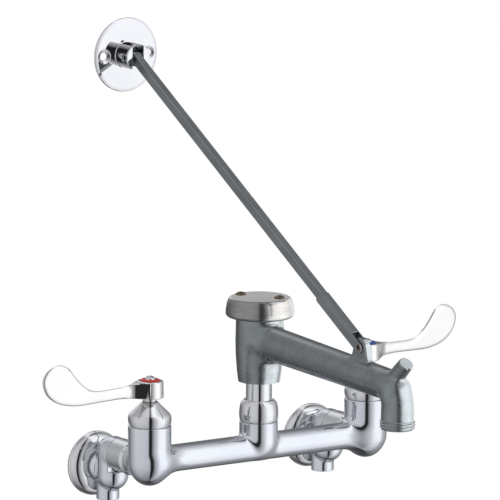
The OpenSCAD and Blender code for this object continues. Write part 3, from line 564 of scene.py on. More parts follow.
def stop_field(x, y, z):
    """A leg with a round top, a ball behind the nut that runs down into a bulge below it, and a shank."""
    leg_top = sqrt(x * x + (y - leg_y) ** 2 + (z - leg_dome_z) ** 2)
    leg = where(z > leg_dome_z, leg_top, hypot(x, y - leg_y))
    leg = smooth_max(leg - leg_r, leg_low - z, 1.0)
    from_nut = hypot(x, z - tail_z)
    ball = where(y < ball_y, from_nut, sqrt(x * x + (y - ball_y) ** 2 + (z - tail_z) ** 2)) - ball_r
    share = clip((tail_z - z) / (tail_z - pod_z), 0, 1)
    pod_rise = z - clip(z, pod_z, tail_z)
    pod = sqrt(x * x + (y - ball_y - share * (pod_y - ball_y)) ** 2 + pod_rise ** 2)
    pod = pod - (ball_r + share * (pod_r - ball_r))
    beside_nut = maximum(y - nut_back, tail_z - ball_r - nut_edge - z)
    front = smooth_min(smooth_max(ball, nut_back - y, 1.0), smooth_max(pod, -beside_nut, 1.0), 2.0)
    side = hypot(x, z)
    shank = (side - interp(y, shank_places, shank_radii)) * 0.8
    shank = maximum(shank, maximum(shank_end - y, y))
    solid = smooth_min(smooth_min(leg, front, 3.0), shank, 3.0)
    solid = minimum(solid, capped(from_nut, y, spigot_r, spigot_end, ball_y))
    bores = capped(side, y, supply_r, supply_depth, 5)
    bores = minimum(bores, upright(x, y - leg_y, z, leg_bore_r, leg_low - 5, 4.0))
    bores = minimum(bores, upright(x, y - leg_y, z, gland_bore_r, leg_low - 5, leg_low + gland_h))
    return smooth_max(solid, -bores, 0.6)


stop_mesh = surface_mesh(stop_field, (-15, -45, leg_low - 2), (15, 2, 27.5), 0.6)

rim_r = half_width("hot_escutcheon")
cover_outline = (
    [(rim_r, 0.0), (rim_r, 1.1), (rim_r - 0.15, 1.5), (rim_r - 0.55, 1.9), (rim_r - 1.0, 2.15)]
    + arc((13.7, 2.3), (10.6, 6.6), 0.06, pi / 2 - 0.1, 18)
    + [(13.7, 9.0), (13.5, 9.2), (12.6, 9.2), (12.35, 9.0), (12.35, 7.6)]
    + arc((12.5, 0.8), (10.8, 6.4), pi / 2 - 0.08, 0, 12)
    + [(23.3, 0.0)]
)
nut_outline = rounded([
    (11.6, -nut_back, 0.1), (11.7, -nut_back, 0.1), (13.0, -nut_back + 1.9, 0.7),
    (13.0, -nut_front - 2.1, 0.7), (11.5, -nut_front, 0.3), (9.6, -nut_front, 0.2),
    (9.6, -nut_front - 7, 0), (11.6, -nut_front - 7, 0),
])
outward = Matrix.Rotation(90 * DEGREE, 4, "X")

for name, side in SIDES.items():
    x = side * valve_x
    piece = mesh_piece(name + "_stop_body_shell", *moved(stop_mesh, at(x, 0, 0)))
    dress(piece, "root", "body_chrome")
    piece = turned(name + "_escutcheon_shell", cover_outline, at(x, 0, 0, outward))
    dress(piece, "root", "polished_chrome")
    piece = turned(name + "_inlet_nut_shell", nut_outline, at(x, 0, tail_z, outward))
    dress(piece, "root", "polished_chrome")

# Bonnets and stems

bonnet_h = bonnet_top - barrel_top
bonnet_wide_z = bonnet_h * 0.29
bonnet_outline = (
    [(9.3, -bonnet_thread_h), (12.1, -bonnet_thread_h), (12.1, 0.0), (15.4, 0.0)]
    + arc((2.8, bonnet_wide_z), (14.0, 14.0), -22 * DEGREE, -2 * DEGREE, 9)
    + arc((10.8, bonnet_wide_z), (6.0, 6.0), 2 * DEGREE, 43 * DEGREE, 13)
    + [(13.2, 11.55), (11.2, 13.5), (9.2, 15.45), (7.8, 16.9), (6.9, 18.0), (6.5, 18.45), (6.0, 18.75),
       (5.5, bonnet_h), (4.5, bonnet_h), (4.3, 18.7), (4.3, 7.3), (6.6, 7.3), (6.6, 0.0), (9.3, 0.0)]
)
stem_low = 26.05
stem_collar_top = 28.4
spline_h = 8.2

for name, side in SIDES.items():
    piece = turned(name + "_bonnet_shell", bonnet_outline, at(side * valve_x, valve_y, barrel_top))
    dress(piece, "root", "polished_chrome")
    hub_z = low_corner(name + "_handle")[2]
    neck_low = bonnet_top + 0.3
    stem_outline = rounded([
        (0, stem_low, 0), (6.7, stem_low, 0.2), (6.7, stem_collar_top, 0.2), (4.0, stem_collar_top, 0),
        (4.0, neck_low, 0), (5.4, neck_low, 0.4), (5.4, hub_z, 0.2), (4.4, hub_z, 0),
        (4.4, hub_z + spline_h, 0.5), (0, hub_z + spline_h, 0),
    ])
    piece = turned(name + "_stem_shell", stem_outline, at(side * valve_x, valve_y, 0), closed=False)
    dress(piece, name + "_valve", "stem_chrome")

# Blade handles with their index rings and screws

blade_length = 98.5
blade_rise = 34.1
blade_half = 1.3
hub_r = 10.45
hub_h = 13.5
ring_r = 7.5
flank_turn = 58 * DEGREE
flank_length = 7.8
root_end = 25.0
crease_x = hub_r * cos(flank_turn) + flank_length * sin(flank_turn)
crease_y = hub_r * sin(flank_turn) - flank_length * cos(flank_turn)
blade_grow = 0.3
root_thin = blade_half - 0.9
stem_hole_r = 4.45
stem_hole_top = 8.5
ring_recess = 1.2
# The blade's outline, in shares of its length and of its rise
blade_shares = [
    (0.08, 0.055), (0.31, 0.042), (0.51, 0.018), (0.63, 0.006), (0.73, 0.022), (0.86, 0.118),
    (0.963, 0.34), (1.0, 0.65), (0.955, 0.885), (0.853, 1.0), (0.762, 0.912), (0.71, 0.738),
    (0.655, 0.56), (0.594, 0.414), (0.503, 0.305), (0.305, 0.311), (0.15, 0.34), (0.08, 0.36),
]


def smooth_outline(points, steps):
    """A smooth closed curve through all the points."""
    p = np.array(points)
    a, b, c, d = np.roll(p, 1, 0), p, np.roll(p, -1, 0), np.roll(p, -2, 0)
    rows = []
    for t in np.arange(steps) / steps:
        rows.append(0.5 * (2 * b + (c - a) * t + (2 * a - 5 * b + 4 * c - d) * t * t
                           + (3 * b - a - 3 * c + d) * t * t * t))
    return [tuple(q) for q in np.stack(rows, 1).reshape(-1, 2)]


blade_edge = smooth_outline([(u * blade_length, v * blade_rise) for u, v in blade_shares], 4)


# One side of the root seen from above: a straight flank to the crease, then thinner toward the blade
root_flank = [(hub_r * cos(flank_turn), hub_r * sin(flank_turn))] + [
    (crease_x + (root_end - crease_x) * t, root_thin + (crease_y - root_thin) * (1 - t) ** 2)
    for t in np.linspace(0, 1, 9)]
root_plan = [(u, -v) for u, v in root_flank] + root_flank[::-1] + [(0.0, 0.0)]


def handle_field(x, y, z):
    """Hub, blade, and a root with a flat flank on each side that thins into the blade behind a crease."""
    hub_edge = interp(z, [0, 0.7, 12.5, hub_h], [hub_r - 0.1, hub_r + 0.1, hub_r - 0.2, hub_r - 0.35])
    hub = smooth_max(smooth_max(hypot(x, y) - hub_edge, -z, 1.4), z - hub_h, 2.0)
    plate = outline_distance(x, z, blade_edge) - blade_grow
    plate = maximum(smooth_max(plate, abs(y) - blade_half - 0.15, 5.0), 4.0 - x)
    root_top = interp(x, [0, crease_x, crease_x + 5.5, root_end], [hub_h - 0.6, hub_h - 0.6, 11.65, 11.25])
    root_low = interp(x, [0, crease_x, root_end], [0.6, 0.6, 1.7])
    root = smooth_max(outline_distance(x, y, root_plan), maximum(z - root_top, root_low - z), 1.4)
    root = maximum(root, maximum(-x, x - root_end))
    solid = smooth_min(hub, smooth_min(plate, root, 0.8), 0.8)
    solid = smooth_max(solid, -upright(x, y, z, ring_r + 0.1, hub_h - ring_recess, hub_h + 5), 0.5)
    return maximum(solid, -upright(x, y, z, stem_hole_r, -5, stem_hole_top))


handle_mesh = surface_mesh(handle_field, (-12, -12, -1), (blade_length + 1.5, 12, blade_rise + 1.5), 0.5)
ring_outline = rounded([
    (2.1, 12.3, 0), (ring_r, 12.3, 0.2), (ring_r, 14.0, 0.8), (6.4, 14.7, 0.9), (4.4, 14.7, 0.3),
    (4.4, 13.7, 0), (2.1, 13.7, 0),
])
screw_slot_half = 0.55


def screw_head(x, y, z, head_r, low, high, slots, slot_depth):
    """A domed head with a slot across each of the given directions."""
    rise = high - low - 1.0
    dome_r = (head_r ** 2 + rise ** 2) / (2 * rise) + 0.4
    dome = sqrt(x * x + y * y + (z - high + dome_r) ** 2) - dome_r
    head = smooth_max(smooth_max(hypot(x, y) - head_r, dome, 1.0), low - z, 0.4)
    for across in slots:
        slot = maximum(abs(across) - screw_slot_half, high - slot_depth - z)
        head = smooth_max(head, -slot, 0.35)
    return head


def handle_screw_field(x, y, z):
    head = screw_head(x, y, z, 4.2, 13.7, 17.3, (x, y), 1.6)
    return minimum(head, upright(x, y, z, 2.0, 4.0, 14.5))


screw_mesh = surface_mesh(handle_screw_field, (-4.6, -4.6, 3.5), (4.6, 4.6, 17.8), 0.22)

heading = {"hot": 180.0, "cold": 9.0}
for name, side in SIDES.items():
    hub_z = low_corner(name + "_handle")[2]
    turn = Matrix.Rotation(heading[name] * DEGREE, 4, "Z")
    place = at(side * valve_x, valve_y, hub_z, turn)
    piece = mesh_piece(name + "_handle_shell", *moved(handle_mesh, place))
    dress(piece, name + "_valve", "handle_chrome")
    piece = turned(name + "_index_ring_shell", ring_outline, place)
    dress(piece, name + "_valve", name + "_index")
    piece = mesh_piece(name + "_handle_screw_shell", *moved(screw_mesh, place))
    dress(piece, name + "_valve", "polished_chrome")

# Spout nut and swivel tube

spout_nut_outline = (
    [(12.6, boss_top), (14.0, boss_top), (14.35, boss_top + 0.35)]
    + arc((-14.8, boss_top + 6.2), (30.0, 30.0), -9 * DEGREE, 16 * DEGREE, 15)
    + [(12.75, nut_top - 1.0), (12.4, nut_top - 0.5), (11.9, nut_top - 0.1), (11.5, nut_top),
       (11.2, nut_top - 0.05), (tube_well_r, nut_top - 0.9), (tube_well_r, boss_top + 11.4),
       (12.6, boss_top + 11.4)]
)
piece = turned("spout_nut_shell", spout_nut_outline, at(0, valve_y, 0))
dress(piece, "root", "polished_chrome")

tube_show = 10.4
tube_bore_r = 7.5
tube_low = boss_top - 9
tube_collar_r = 12.4
tube_collar_low = boss_top + 8
tube_collar_top = boss_top + 10.6
column_low = nut_top + tube_show
tube_top = column_low + 10
tube_outline = rounded([
    (tube_bore_r, tube_low, 0.2), (tube_r, tube_low, 0.5), (tube_r, tube_collar_low, 0),
    (tube_collar_r, tube_collar_low, 0.2), (tube_collar_r, tube_collar_top, 0.2),
    (tube_r, tube_collar_top, 0), (tube_r, tube_top, 0.3), (tube_bore_r, tube_top, 0.2),
])
piece = turned("swivel_tube_shell", tube_outline, at(0, valve_y, 0))
dress(piece, "spout", "polished_chrome")

# Spout casting: breaker column, arm, elbow, outlet, pail hook and brace lug

arm_fall = 2.0 * DEGREE
arm_z = column_low + 37.0
elbow_r = 15.0
arm_length = (valve_y - outlet_y - elbow_r * (1 - sin(arm_fall))) / cos(arm_fall)
arm_cos, arm_sin = cos(arm_fall), sin(arm_fall)
elbow_y = outlet_y + elbow_r
elbow_z = arm_z - arm_length * arm_sin - elbow_r * arm_cos
outlet_low = low_corner("spout_casting")[2]
thread_h = 7.5
outlet_bore_r = 9.4
waterway_r = 8.6
column_h = 62.4
column_heights = [0, 4.6, 13.5, 25, 36, 48]
column_radii = [15.9, 16.3, 17.45, 18.35, 18.7, 18.5]
arm_start = 4
arm_round = 30
arm_radii = [13.5, 13.3, 12.0]
elbow_pipe_r = 12.0
outlet_r = 12.45
column_top = column_low + column_h
corner_r = 12.2
corner_place = (outlet_y + 3, arm_z - (valve_y - outlet_y) * math.tan(arm_fall) - 3)
hook_lean = 47 * DEGREE
hook_face = 40 * DEGREE
hook_length = 30.0
hook_root = (elbow_y - 3.5, elbow_z + elbow_r - 0.5)
lug_r = 7.4
lug_base = pin_place[2] - 17.8
lug_half = 2.8
pin_r = 2.5
pin_hole_r = 2.55


def column_field(x, y, z):
    side = hypot(x, y) - interp(z - column_low, column_heights, column_radii)
    return smooth_max(smooth_max(side, column_low - z, 6.0), z - column_top, 1.0)


def arm_axes(y, z):
    """Distance along the centre line of the arm, and above it."""
    along = -(y - valve_y) * arm_cos - (z - arm_z) * arm_sin
    rise = -(y - valve_y) * arm_sin + (z - arm_z) * arm_cos
    return along, rise


def spine_field(x, y, z):
    """The arm, the elbow and the outlet, as one pipe whose radius changes slowly."""
    along, rise = arm_axes(y, z)
    arm = hypot(x, rise) - interp(along, [0, arm_round, arm_length], arm_radii)
    arm_only = maximum(arm, arm_start - along)
    forward, above = elbow_y - y, z - elbow_z
    bend = clip(np.arctan2(forward, above) / (pi / 2), 0, 1)
    elbow_end_r = elbow_pipe_r + (outlet_r - elbow_pipe_r) * bend * bend
    elbow = hypot(x, hypot(forward, above) - elbow_r) - elbow_end_r
    outlet = hypot(x, y - outlet_y) - interp(z, [elbow_z - 5, elbow_z], [outlet_r + 0.15, outlet_r])
    upper = where(along > arm_length, elbow, arm_only)
    lower = minimum(outlet, arm_only)
    pipe = where((z <= elbow_z) & (along > arm_round), lower, upper)
    corner = sqrt(x * x + (y - corner_place[0]) ** 2 + (z - corner_place[1]) ** 2) - corner_r
    return smooth_min(pipe, corner, 3.0)


def hook_field(x, y, z):
    py, pz = y - hook_root[0], z - hook_root[1]
    along = -py * sin(hook_lean) + pz * cos(hook_lean)
    across = py * cos(hook_lean) + pz * sin(hook_lean)
    horn = hypot(x, across) - interp(along, [-4, 0, hook_length - 10, hook_length], [6.7, 6.6, 6.2, 5.8])
    horn = maximum(horn, -4 - along)
    face_y, face_z = py + hook_length * sin(hook_lean), pz - hook_length * cos(hook_lean)
    return smooth_max(horn, -face_y * sin(hook_face) + face_z * cos(hook_face), 1.4)


def tangent(point, centre, radius, side):
    """Where a line from a point touches a circle, on one side or the other."""
    dy, dz = point[0] - centre[0], point[1] - centre[1]
    turn = math.atan2(dz, dy) + side * math.acos(radius / math.hypot(dy, dz))
    return centre[0] + radius * cos(turn), centre[1] + radius * sin(turn)


lug_back = (pin_place[1] + 14.5, lug_base)
lug_front = (pin_place[1] - 12.5, lug_base)
pin_yz = (pin_place[1], pin_place[2])
lug_edge = [lug_front, lug_back, tangent(lug_back, pin_yz, lug_r, 1), tangent(lug_front, pin_yz, lug_r, -1)]


def lug_field(x, y, z):
    from_pin = hypot(y - pin_yz[0], z - pin_yz[1])
    plate = minimum(outline_distance(y, z, lug_edge), from_pin - lug_r)
    plate = smooth_max(plate, abs(x) - lug_half, 2.0)
    return smooth_max(plate, -(from_pin - pin_hole_r), 0.6)


def spout_bores(x, y, z):
    along, rise = arm_axes(y, z)
    inner = capped(hypot(x, rise), along, waterway_r, 10.5, arm_length)
    for r, low, high in [(tube_well_r, column_low - 5, column_low + 10.3),
                         (tube_bore_r, column_low, column_low + 13),
                         (12.5, column_low + 11.3, column_top + 5),
                         (13.2, column_top - 12.5, column_top + 5)]:
        inner = minimum(inner, upright(x, y - valve_y, z, r, low, high))
    bend = hypot(x, hypot(elbow_y - y, z - elbow_z) - elbow_r) - waterway_r
    bend = maximum(bend, maximum(arm_length - along, elbow_z - z))
    inner = minimum(inner, bend)
    return minimum(inner, upright(x, y - outlet_y, z, outlet_bore_r, outlet_low - 5, elbow_z))


def spout_field(x, y, z):
    solid = smooth_min(spine_field(x, y, z), column_field(x, y - valve_y, z), 10.0)
    solid = smooth_min(solid, hook_field(x, y, z), 4.5)
    solid = smooth_min(solid, lug_field(x, y, z), 4.0)
    above_thread = where(y < elbow_y, z, 1e3)
    solid = maximum(solid, outlet_low + thread_h - 0.6 - above_thread)
    return smooth_max(solid, -spout_bores(x, y, z), 0.8)


piece = field_piece("spout_casting_shell", spout_field, (-20.5, outlet_y - 14.5, outlet_low + thread_h - 3),
                    (20.5, valve_y + 20.5, column_top + 2), 0.8)
dress(piece, "spout", "rough_chrome")

# Hose thread at the outlet

thread_r = 13.45
thread_root_r = 12.3
thread_pitch = 25.4 / 11.5
thread_sides = 160
thread_rows = 72
lead_in = 1.4
lead_out = 0.9
end_chamfer = 0.5
end_chamfer_h = 0.6
mouth_chamfer = 0.3


def hose_thread():
    """The threaded skin of the outlet and its bore. The thread fades at both ends."""
    top = outlet_low + thread_h
    angle = np.arange(thread_sides) * 2 * pi / thread_sides

    def ring(r, z):
        return np.stack([r * np.cos(angle), r * np.sin(angle), np.full(thread_sides, z)], 1)

    points, faces = [], []
    for z in np.linspace(outlet_low, top, thread_rows):
        phase = ((z - outlet_low) / thread_pitch - angle / (2 * pi)) % 1.0
        crest = clip(1.6 - abs(phase - 0.5) * 4.4, 0, 1)
        crest = crest * crest * (3 - 2 * crest)
        fade = min(1.0, (z - outlet_low) / lead_in) * min(1.0, (top - z) / lead_out)
        chamfer = end_chamfer * max(0.0, 1 - (z - outlet_low) / end_chamfer_h)
        points.extend(ring(thread_root_r + (thread_r - thread_root_r) * crest * fade - chamfer, z))
    points.extend(ring(outlet_bore_r, top))
    points.extend(ring(outlet_bore_r, outlet_low + mouth_chamfer))
    points.extend(ring(outlet_bore_r + mouth_chamfer, outlet_low))
    loops = thread_rows + 3
    for i in range(loops):
        a, b = i * thread_sides, ((i + 1) % loops) * thread_sides
        for k in range(thread_sides):
            n = (k + 1) % thread_sides
            faces.append((a + k, a + n, b + n, b + k))
    return mesh_piece("hose_thread", np.array(points) + np.array((0, outlet_y, 0)), faces)


dress(hose_thread(), "spout", "rough_chrome")

# Breaker cap and its screws

cap_bottom = low_corner("breaker_cap")[2]
cap_top = high_corner("breaker_cap")[2]
cap_r = half_width("breaker_cap")
cap_h = cap_top - cap_bottom
cap_outline = (
    [(0.0, cap_top - 3.6), (cap_r - 3.8, cap_top - 3.6), (cap_r - 3.8, cap_bottom + 0.8),
     (cap_r - 3.5, cap_bottom + 0.2), (cap_r - 2.9, cap_bottom)]
    + arc((cap_r - 3, cap_bottom + 3), (3, 3), -1.35, 0, 9)
    + [(cap_r - 0.1, cap_bottom + 0.33 * cap_h), (cap_r - 0.5, cap_bottom + 0.5 * cap_h),
       (cap_r - 1.1, cap_top - 4.6), (cap_r - 1.5, cap_top - 3.2)]
    + arc((cap_r - 4.6, cap_top - 2.6), (2.6, 2.55), pi / 2 - 1.25, pi / 2 - 0.1, 10)
    + [(20.5, cap_top - 0.05), (12.0, cap_top), (0.0, cap_top)]
)
piece = turned("breaker_cap_shell", cap_outline, at(0, valve_y, 0), segments=160, closed=False)
dress(piece, "spout", "cap_nickel")

cap_screw_out = 16.4
cap_screw_turn = -59 * DEGREE


def cap_screw_field(x, y, z):
    head = screw_head(x, y, z, 4.15, cap_top, cap_top + 2.57, (y,), 1.2)
    return minimum(head, upright(x, y, z, 2.0, cap_top - 16, cap_top + 0.5))


cap_screw_mesh = surface_mesh(cap_screw_field, (-4.6, -4.6, cap_top - 17), (4.6, 4.6, cap_top + 3.2), 0.25)
screws = []
for turn in (cap_screw_turn, cap_screw_turn + pi):
    place = at(0, valve_y, 0) @ Matrix.Rotation(turn, 4, "Z") @ at(cap_screw_out, 0, 0)
    screws.append(moved(cap_screw_mesh, place))
points, faces, normals = zip(*screws)
faces = (faces[0], faces[1] + len(points[0]))
piece = mesh_piece("cap_screws_shell", *map(np.concatenate, (points, faces, normals)))
dress(piece, "spout", "screw_brass")

# Brace: clevis, bar and pin, in a frame whose +Y runs from the pin to the wall flange

brace_run = pivot_place - pin_place
brace_length = math.hypot(brace_run[1], brace_run[2])
on_brace = at(*pin_place, Matrix.Rotation(math.atan2(brace_run[2], brace_run[1]), 4, "X"))
bar_half_w = 3.1
bar_half_d = 3.8
bar_start = 13.5
channel_half = 4.15
channel_t = 1.0
channel_low = -4.85
channel_high = 3.55
channel_end = 63.0
web_start = 14.0
channel_chamfer = 1.6
groove_half = 1.1
groove_start = channel_end + 3
groove_end = brace_length - 11


def clevis_field(x, y, z):
    """A folded channel with a round front end, open below the pin, with its hole for the pin."""
    radius = (channel_high - channel_low) / 2
    rise = abs(z - (channel_low + channel_high) / 2)
    side = where(y < 0, hypot(y, rise) - radius, rise - radius)
    side = maximum(side, y - channel_end)
    side = maximum(side, (rise + y - channel_end - radius + channel_chamfer) * math.sqrt(0.5))
    between = abs(x) - channel_half + channel_t
    inner = where(y < web_start, between, maximum(between, channel_low + channel_t - z))
    outer = smooth_max(abs(x) - channel_half, channel_low - z, 1.6)
    shell = smooth_max(smooth_max(outer, side, 0.4), -inner, 0.3)
    return maximum(shell, -(hypot(y, z) - pin_r))


piece = field_piece("brace_clevis_shell", clevis_field, (-5, -6.5, -7.5), (5, channel_end + 1, 5.8), 0.35,
                    on_brace)
dress(piece, "brace", "brace_steel")


def bar_field(x, y, z):
    """The square bar, round at its upper end, with a groove along its top and a hole for the pivot."""
    body = box_field(x, y - (bar_start + brace_length) / 2, z,
                     (bar_half_w, (brace_length - bar_start) / 2, bar_half_d), 0.6)
    from_pivot = hypot(y - brace_length, z)
    eye = smooth_max(from_pivot - bar_half_d, abs(x) - bar_half_w, 1.0)
    groove = box_field(x, y - (groove_start + groove_end) / 2, z - bar_half_d,
                       (groove_half, (groove_end - groove_start) / 2, 0.5), 0.2)
    body = smooth_max(minimum(body, eye), -groove, 0.3)
    return maximum(body, -(from_pivot - pin_hole_r))


piece = field_piece("brace_bar_shell", bar_field, (-4, bar_start - 1, -4.8), (4, brace_length + 5, 4.8), 0.5,
                    on_brace)
dress(piece, "brace", "brace_steel")

pin_half = 4.3
pin_bore_r = 1.25
pin_outline = rounded([(pin_bore_r, -pin_half, 0.3), (pin_r, -pin_half, 0.4), (pin_r, pin_half, 0.4),
                       (pin_bore_r, pin_half, 0.3)])
on_pin = at(*pin_place, Matrix.Rotation(90 * DEGREE, 4, "Y"))
piece = turned("brace_pin_shell", pin_outline, on_pin, segments=64)
dress(piece, "brace", "brass", material="screw_brass")

# Wall flange with its slotted boss, and the pivot screw

flange_r = half_width("wall_flange")
flange_back = high_corner("wall_flange")[1] - pivot_place[1]
flange_boss_r = 10.8
boss_nose = -4.0
slot_half = 5.0
slot_floor = 12.5
hole_out = 21.0
hole_r = 3.1
disc_t = 2.2
screw_head_r = 3.3
screw_head_h = 3.6
screw_start = -flange_boss_r + 0.6
hex_half = 1.5
hex_depth = 2.2


def flange_field(x, y, z):
    """A thin disc with two countersunk holes, and a round boss with a slot for the bar and a cross hole."""
    radial = hypot(x, z)
    depth = flange_back - y
    face = interp(radial, [0, flange_boss_r + 2, flange_r - 2.5, flange_r - 0.5, flange_r],
                  [disc_t, disc_t, 1.9, 1.4, 0.9])
    disc = smooth_max(smooth_max((depth - face) * 0.97, radial - flange_r, 0.6), -depth, 0.4)
    countersink = clip(hole_r + (depth - 0.7) * 1.93, hole_r, 9)
    disc = smooth_max(disc, -(hypot(abs(x) - hole_out, z) - countersink) * 0.5, 0.3)
    boss = smooth_max(radial - flange_boss_r, boss_nose - y, 1.4)
    boss = maximum(boss, y - flange_back + 1)
    slot = maximum(abs(x) - slot_half, y - slot_floor)
    solid = smooth_min(disc, smooth_max(boss, -slot, 0.9), 0.5)
    from_pivot = hypot(y, z)
    solid = smooth_max(solid, -(from_pivot - pin_hole_r), 0.3)
    return smooth_max(solid, -maximum(from_pivot - screw_head_r - 0.1, x + flange_boss_r - 4.2), 0.3)


piece = field_piece("wall_flange_shell", flange_field, (-31, -5.5, -31), (31, flange_back + 1.2, 31), 0.55,
                    at(*pivot_place))
dress(piece, "flange", "polished_chrome")


def pivot_screw_field(x, y, z):
    """A round head with a hex socket, and a plain shank through the boss."""
    from_axis = hypot(y, z)
    inward = x - screw_start
    head = smooth_max(smooth_max(from_axis - screw_head_r, -inward, 0.6), inward - screw_head_h, 0.3)
    shank = maximum(from_axis - pin_r, maximum(1 - inward, x - flange_boss_r + 1))
    turns = [a * DEGREE for a in (0, 60, 120)]
    flats = np.max(np.stack([abs(y * cos(a) + z * sin(a)) for a in turns]), axis=0) - hex_half
    return smooth_max(minimum(head, shank), -maximum(flats, inward - hex_depth), 0.2)


piece = field_piece("flange_pivot_screw_shell", pivot_screw_field, (-flange_boss_r + 0.1, -3.8, -3.8),
                    (flange_boss_r - 0.5, 3.8, 3.8), 0.25, at(*pivot_place))
dress(piece, "flange", "brace_steel")

# The bright chrome mirrors neither the rough casting nor what is on and in it, which would fill it with grey

for name in ("spout_casting_shell", "breaker_cap_shell", "cap_screws_shell", "hose_thread"):
    bpy.data.objects[name].visible_glossy = False
for name in ("breaker_seat", "breaker_float", "vent_seat"):
    frame["nodes"][name].visible_glossy = False

# The camera stands where the photograph was taken from

view_turn = -34.564 * DEGREE
view_rise = 10.5 * DEGREE
view_roll = 0.635 * DEGREE
view_distance = 6000.0
photo_pixels = 500
pixels_per_mm = 1.275
shift_right = 36.697
shift_up = 155.554


def direction(turn, rise):
    """A unit vector at an angle to the right of the front, and at an angle above the horizon."""
    return Vector((sin(turn) * cos(rise), -cos(turn) * cos(rise), sin(rise)))


def make_camera():
    back = direction(view_turn, view_rise)
    level = Vector((cos(view_turn), sin(view_turn), 0))
    upright_level = back.cross(level)
    right = level * cos(view_roll) + upright_level * sin(view_roll)
    up = upright_level * cos(view_roll) - level * sin(view_roll)
    aim = right * shift_right + up * shift_up
    data = bpy.data.cameras.new("camera")
    data.sensor_width = 36.0
    data.lens = data.sensor_width * pixels_per_mm * view_distance / photo_pixels
    data.clip_start = 0.1
    data.clip_end = 100.0
    camera = new_object("camera", data)
    turn = Matrix((right, up, back)).transposed()
    camera.matrix_world = Matrix.Translation((aim + back * view_distance) * MM) @ turn.to_4x4()
    bpy.context.scene.camera = camera


# Studio
# Its levels are given at angles in degrees, to the right of the camera or above the horizon.

near_gap = [(-40, 0.84), (-22, 0.8), (-12, 0.76), (-4, 0.6), (-1, 0.03), (12, 0.03), (17, 0.3), (26, 0.6),
            (34, 0.78), (43, 1), (51, 1.28), (60, 1.43)]
level_low = [(-180, 0.15), (-165, 0.16), (-148, 0.2), (-128, 0.25), (-110, 0.5), (-97, 0.65), (-75, 0.85),
             *near_gap, (85, 1.45), (92, 1.3), (103, 0.92), (117, 0.66), (134, 0.54), (150, 0.38),
             (163, 0.2), (180, 0.15)]
level_high = [(-180, 0.2), (-173, 0.6), (-164, 1.1), (-152, 0.95), (-140, 0.62), (-127, 0.52), (-110, 0.6),
              (-75, 0.84), *near_gap, (78, 1.42), (92, 1.15), (112, 0.86), (130, 0.66), (150, 0.46),
              (165, 0.26), (180, 0.2)]
low_to_high = [(-5, 0), (12, 1)]
level_up = [(-90, 0.3), (-74, 0.42), (-56, 0.62), (-47, 0.73), (-38, 0.83), (-25, 0.92), (-17, 0.97), (-5, 1),
            (40, 1), (54, 0.95), (66, 0.98), (77, 1.05), (90, 1.1)]
studio_tint = (0.985, 0.995, 1.03, 1)
# Levels go through the ramps at this scale, which keeps them under 1
ramp_scale = 0.5


def make_world():
    """A broad light on the right, grey on the left and a dark gap near the camera, which sees white."""
    world = bpy.data.worlds.new("studio")
    bpy.context.scene.world = world
    world.use_nodes = True
    world.node_tree.nodes.clear()
    nodes = Nodes(world.node_tree)
    eye = nodes.add("ShaderNodeTexCoord").outputs["Generated"]

    def calculate(operation, *values):
        return nodes.add("ShaderNodeMath", *values, operation=operation).outputs[0]

    def toward(*vector):
        return nodes.add("ShaderNodeVectorMath", eye, vector, operation="DOT_PRODUCT").outputs["Value"]

    def ramp(angle, turns, stops, scale=1.0):
        """Levels round a number of half turns, with the angle in radians and the stops in degrees."""
        share = calculate("ADD", calculate("DIVIDE", angle, turns * pi), 0.5)
        grey = [(0.5 + place / (180 * turns), (level * scale,) * 3) for place, level in stops]
        return nodes.tones(share, *grey)

    def mix(factor, first, second, blend="MIX"):
        node = nodes.add("ShaderNodeMix", data_type="RGBA", blend_type=blend)
        nodes.feed(node, Factor=factor, A=first, B=second)
        return node.outputs["Result"]

    right = toward(cos(view_turn), sin(view_turn), 0)
    front = toward(sin(view_turn), -cos(view_turn), 0)
    turn = calculate("ARCTAN2", right, front)
    rise = calculate("ARCSINE", toward(0, 0, 1))
    low, high = (ramp(turn, 2, levels, ramp_scale) for levels in (level_low, level_high))
    around = mix(ramp(rise, 1, low_to_high), low, high)
    colour = mix(1.0, mix(1.0, around, ramp(rise, 1, level_up), "MULTIPLY"), studio_tint, "MULTIPLY")
    studio = nodes.add("ShaderNodeBackground", colour, 1 / ramp_scale)
    white = nodes.add("ShaderNodeBackground", (1, 1, 1, 1))
    path = nodes.add("ShaderNodeLightPath")
    seen = calculate("MAXIMUM", path.outputs["Is Camera Ray"], path.outputs["Is Transmission Ray"])
    choose = nodes.add("ShaderNodeMixShader", seen, studio.outputs[0], white.outputs[0])
    nodes.add("ShaderNodeOutputWorld", choose.outputs[0])


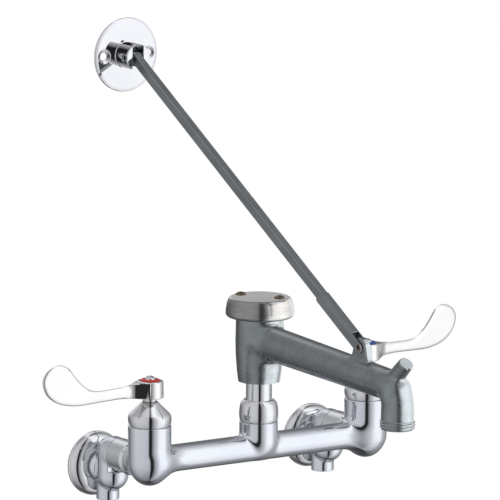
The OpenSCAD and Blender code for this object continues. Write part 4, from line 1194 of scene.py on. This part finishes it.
def make_floor():
    """A floor that keeps the object's shadow, looks white to the camera and is not mirrored."""
    half = 0.6
    drop = -0.30
    mesh = bpy.data.meshes.new("floor")
    mesh.from_pydata([(-half, -half, drop), (half, -half, drop), (half, half, drop), (-half, half, drop)],
                     [], [(0, 1, 2, 3)])
    floor = new_object("floor", mesh)
    m = Surface("pale_floor")
    colour = m.tones(m.noise(3, 2), (0.3, (0.38, 0.38, 0.39)), (0.7, (0.42, 0.42, 0.43)))
    m.feed(m.shader, Roughness=0.9, Base_Color=colour)
    path = m.add("ShaderNodeLightPath")
    glow = m.add("ShaderNodeEmission", (1, 1, 1, 1), 0.62)
    plain = m.shader.outputs[0]
    bright = m.add("ShaderNodeAddShader", plain, glow.outputs[0])
    seen = m.add("ShaderNodeMixShader", path.outputs["Is Camera Ray"], plain, bright.outputs[0])
    clear = m.add("ShaderNodeBsdfTransparent")
    unseen = m.add("ShaderNodeMixShader", path.outputs["Is Glossy Ray"], seen.outputs[0], clear.outputs[0])
    m.feed(m.tree.nodes["Material Output"], Surface=unseen.outputs[0])
    mesh.materials.append(m.material)


# Degrees to the right of the camera and above the horizon, width and height in metres, and level
plating_lamps = [(52, 3, 1.66, 2.5, 1.8), (97, 3, 1.66, 2.5, 2.1), (142, 3, 1.66, 2.5, 1.6),
                 (112, 56, 1.5, 1.1, 1.5), (78, -48, 3.2, 1.2, 1.7)]
cap_lamps = [(180, 14, 1.3, 1.0, 0.6)]


def make_lamps(name, lamps, lit):
    """Soft lamps that light only some pieces."""
    receivers = bpy.data.collections.new(name)
    for piece in lit:
        receivers.objects.link(bpy.data.objects[piece])
    centre = Vector((0, outlet_y, arm_z)) * MM
    reach = 2.0
    for turn, rise, width, height, level in lamps:
        away = direction(view_turn + turn * DEGREE, rise * DEGREE)
        data = bpy.data.lights.new(name, "AREA")
        data.shape = "RECTANGLE"
        data.size, data.size_y = width, height
        data.energy = level * pi * width * height
        lamp = new_object(name, data)
        lamp.location = centre + away * reach
        lamp.rotation_euler = away.to_track_quat("Z", "Y").to_euler()
        lamp.visible_camera = False
        lamp.light_linking.receiver_collection = receivers


make_camera()
make_world()
make_floor()
make_lamps("plating_lamp", plating_lamps, ("spout_casting_shell", "hose_thread", "breaker_cap_shell"))
make_lamps("cap_lamp", cap_lamps, ("breaker_cap_shell",))
bpy.context.scene.view_settings.view_transform = "Standard"
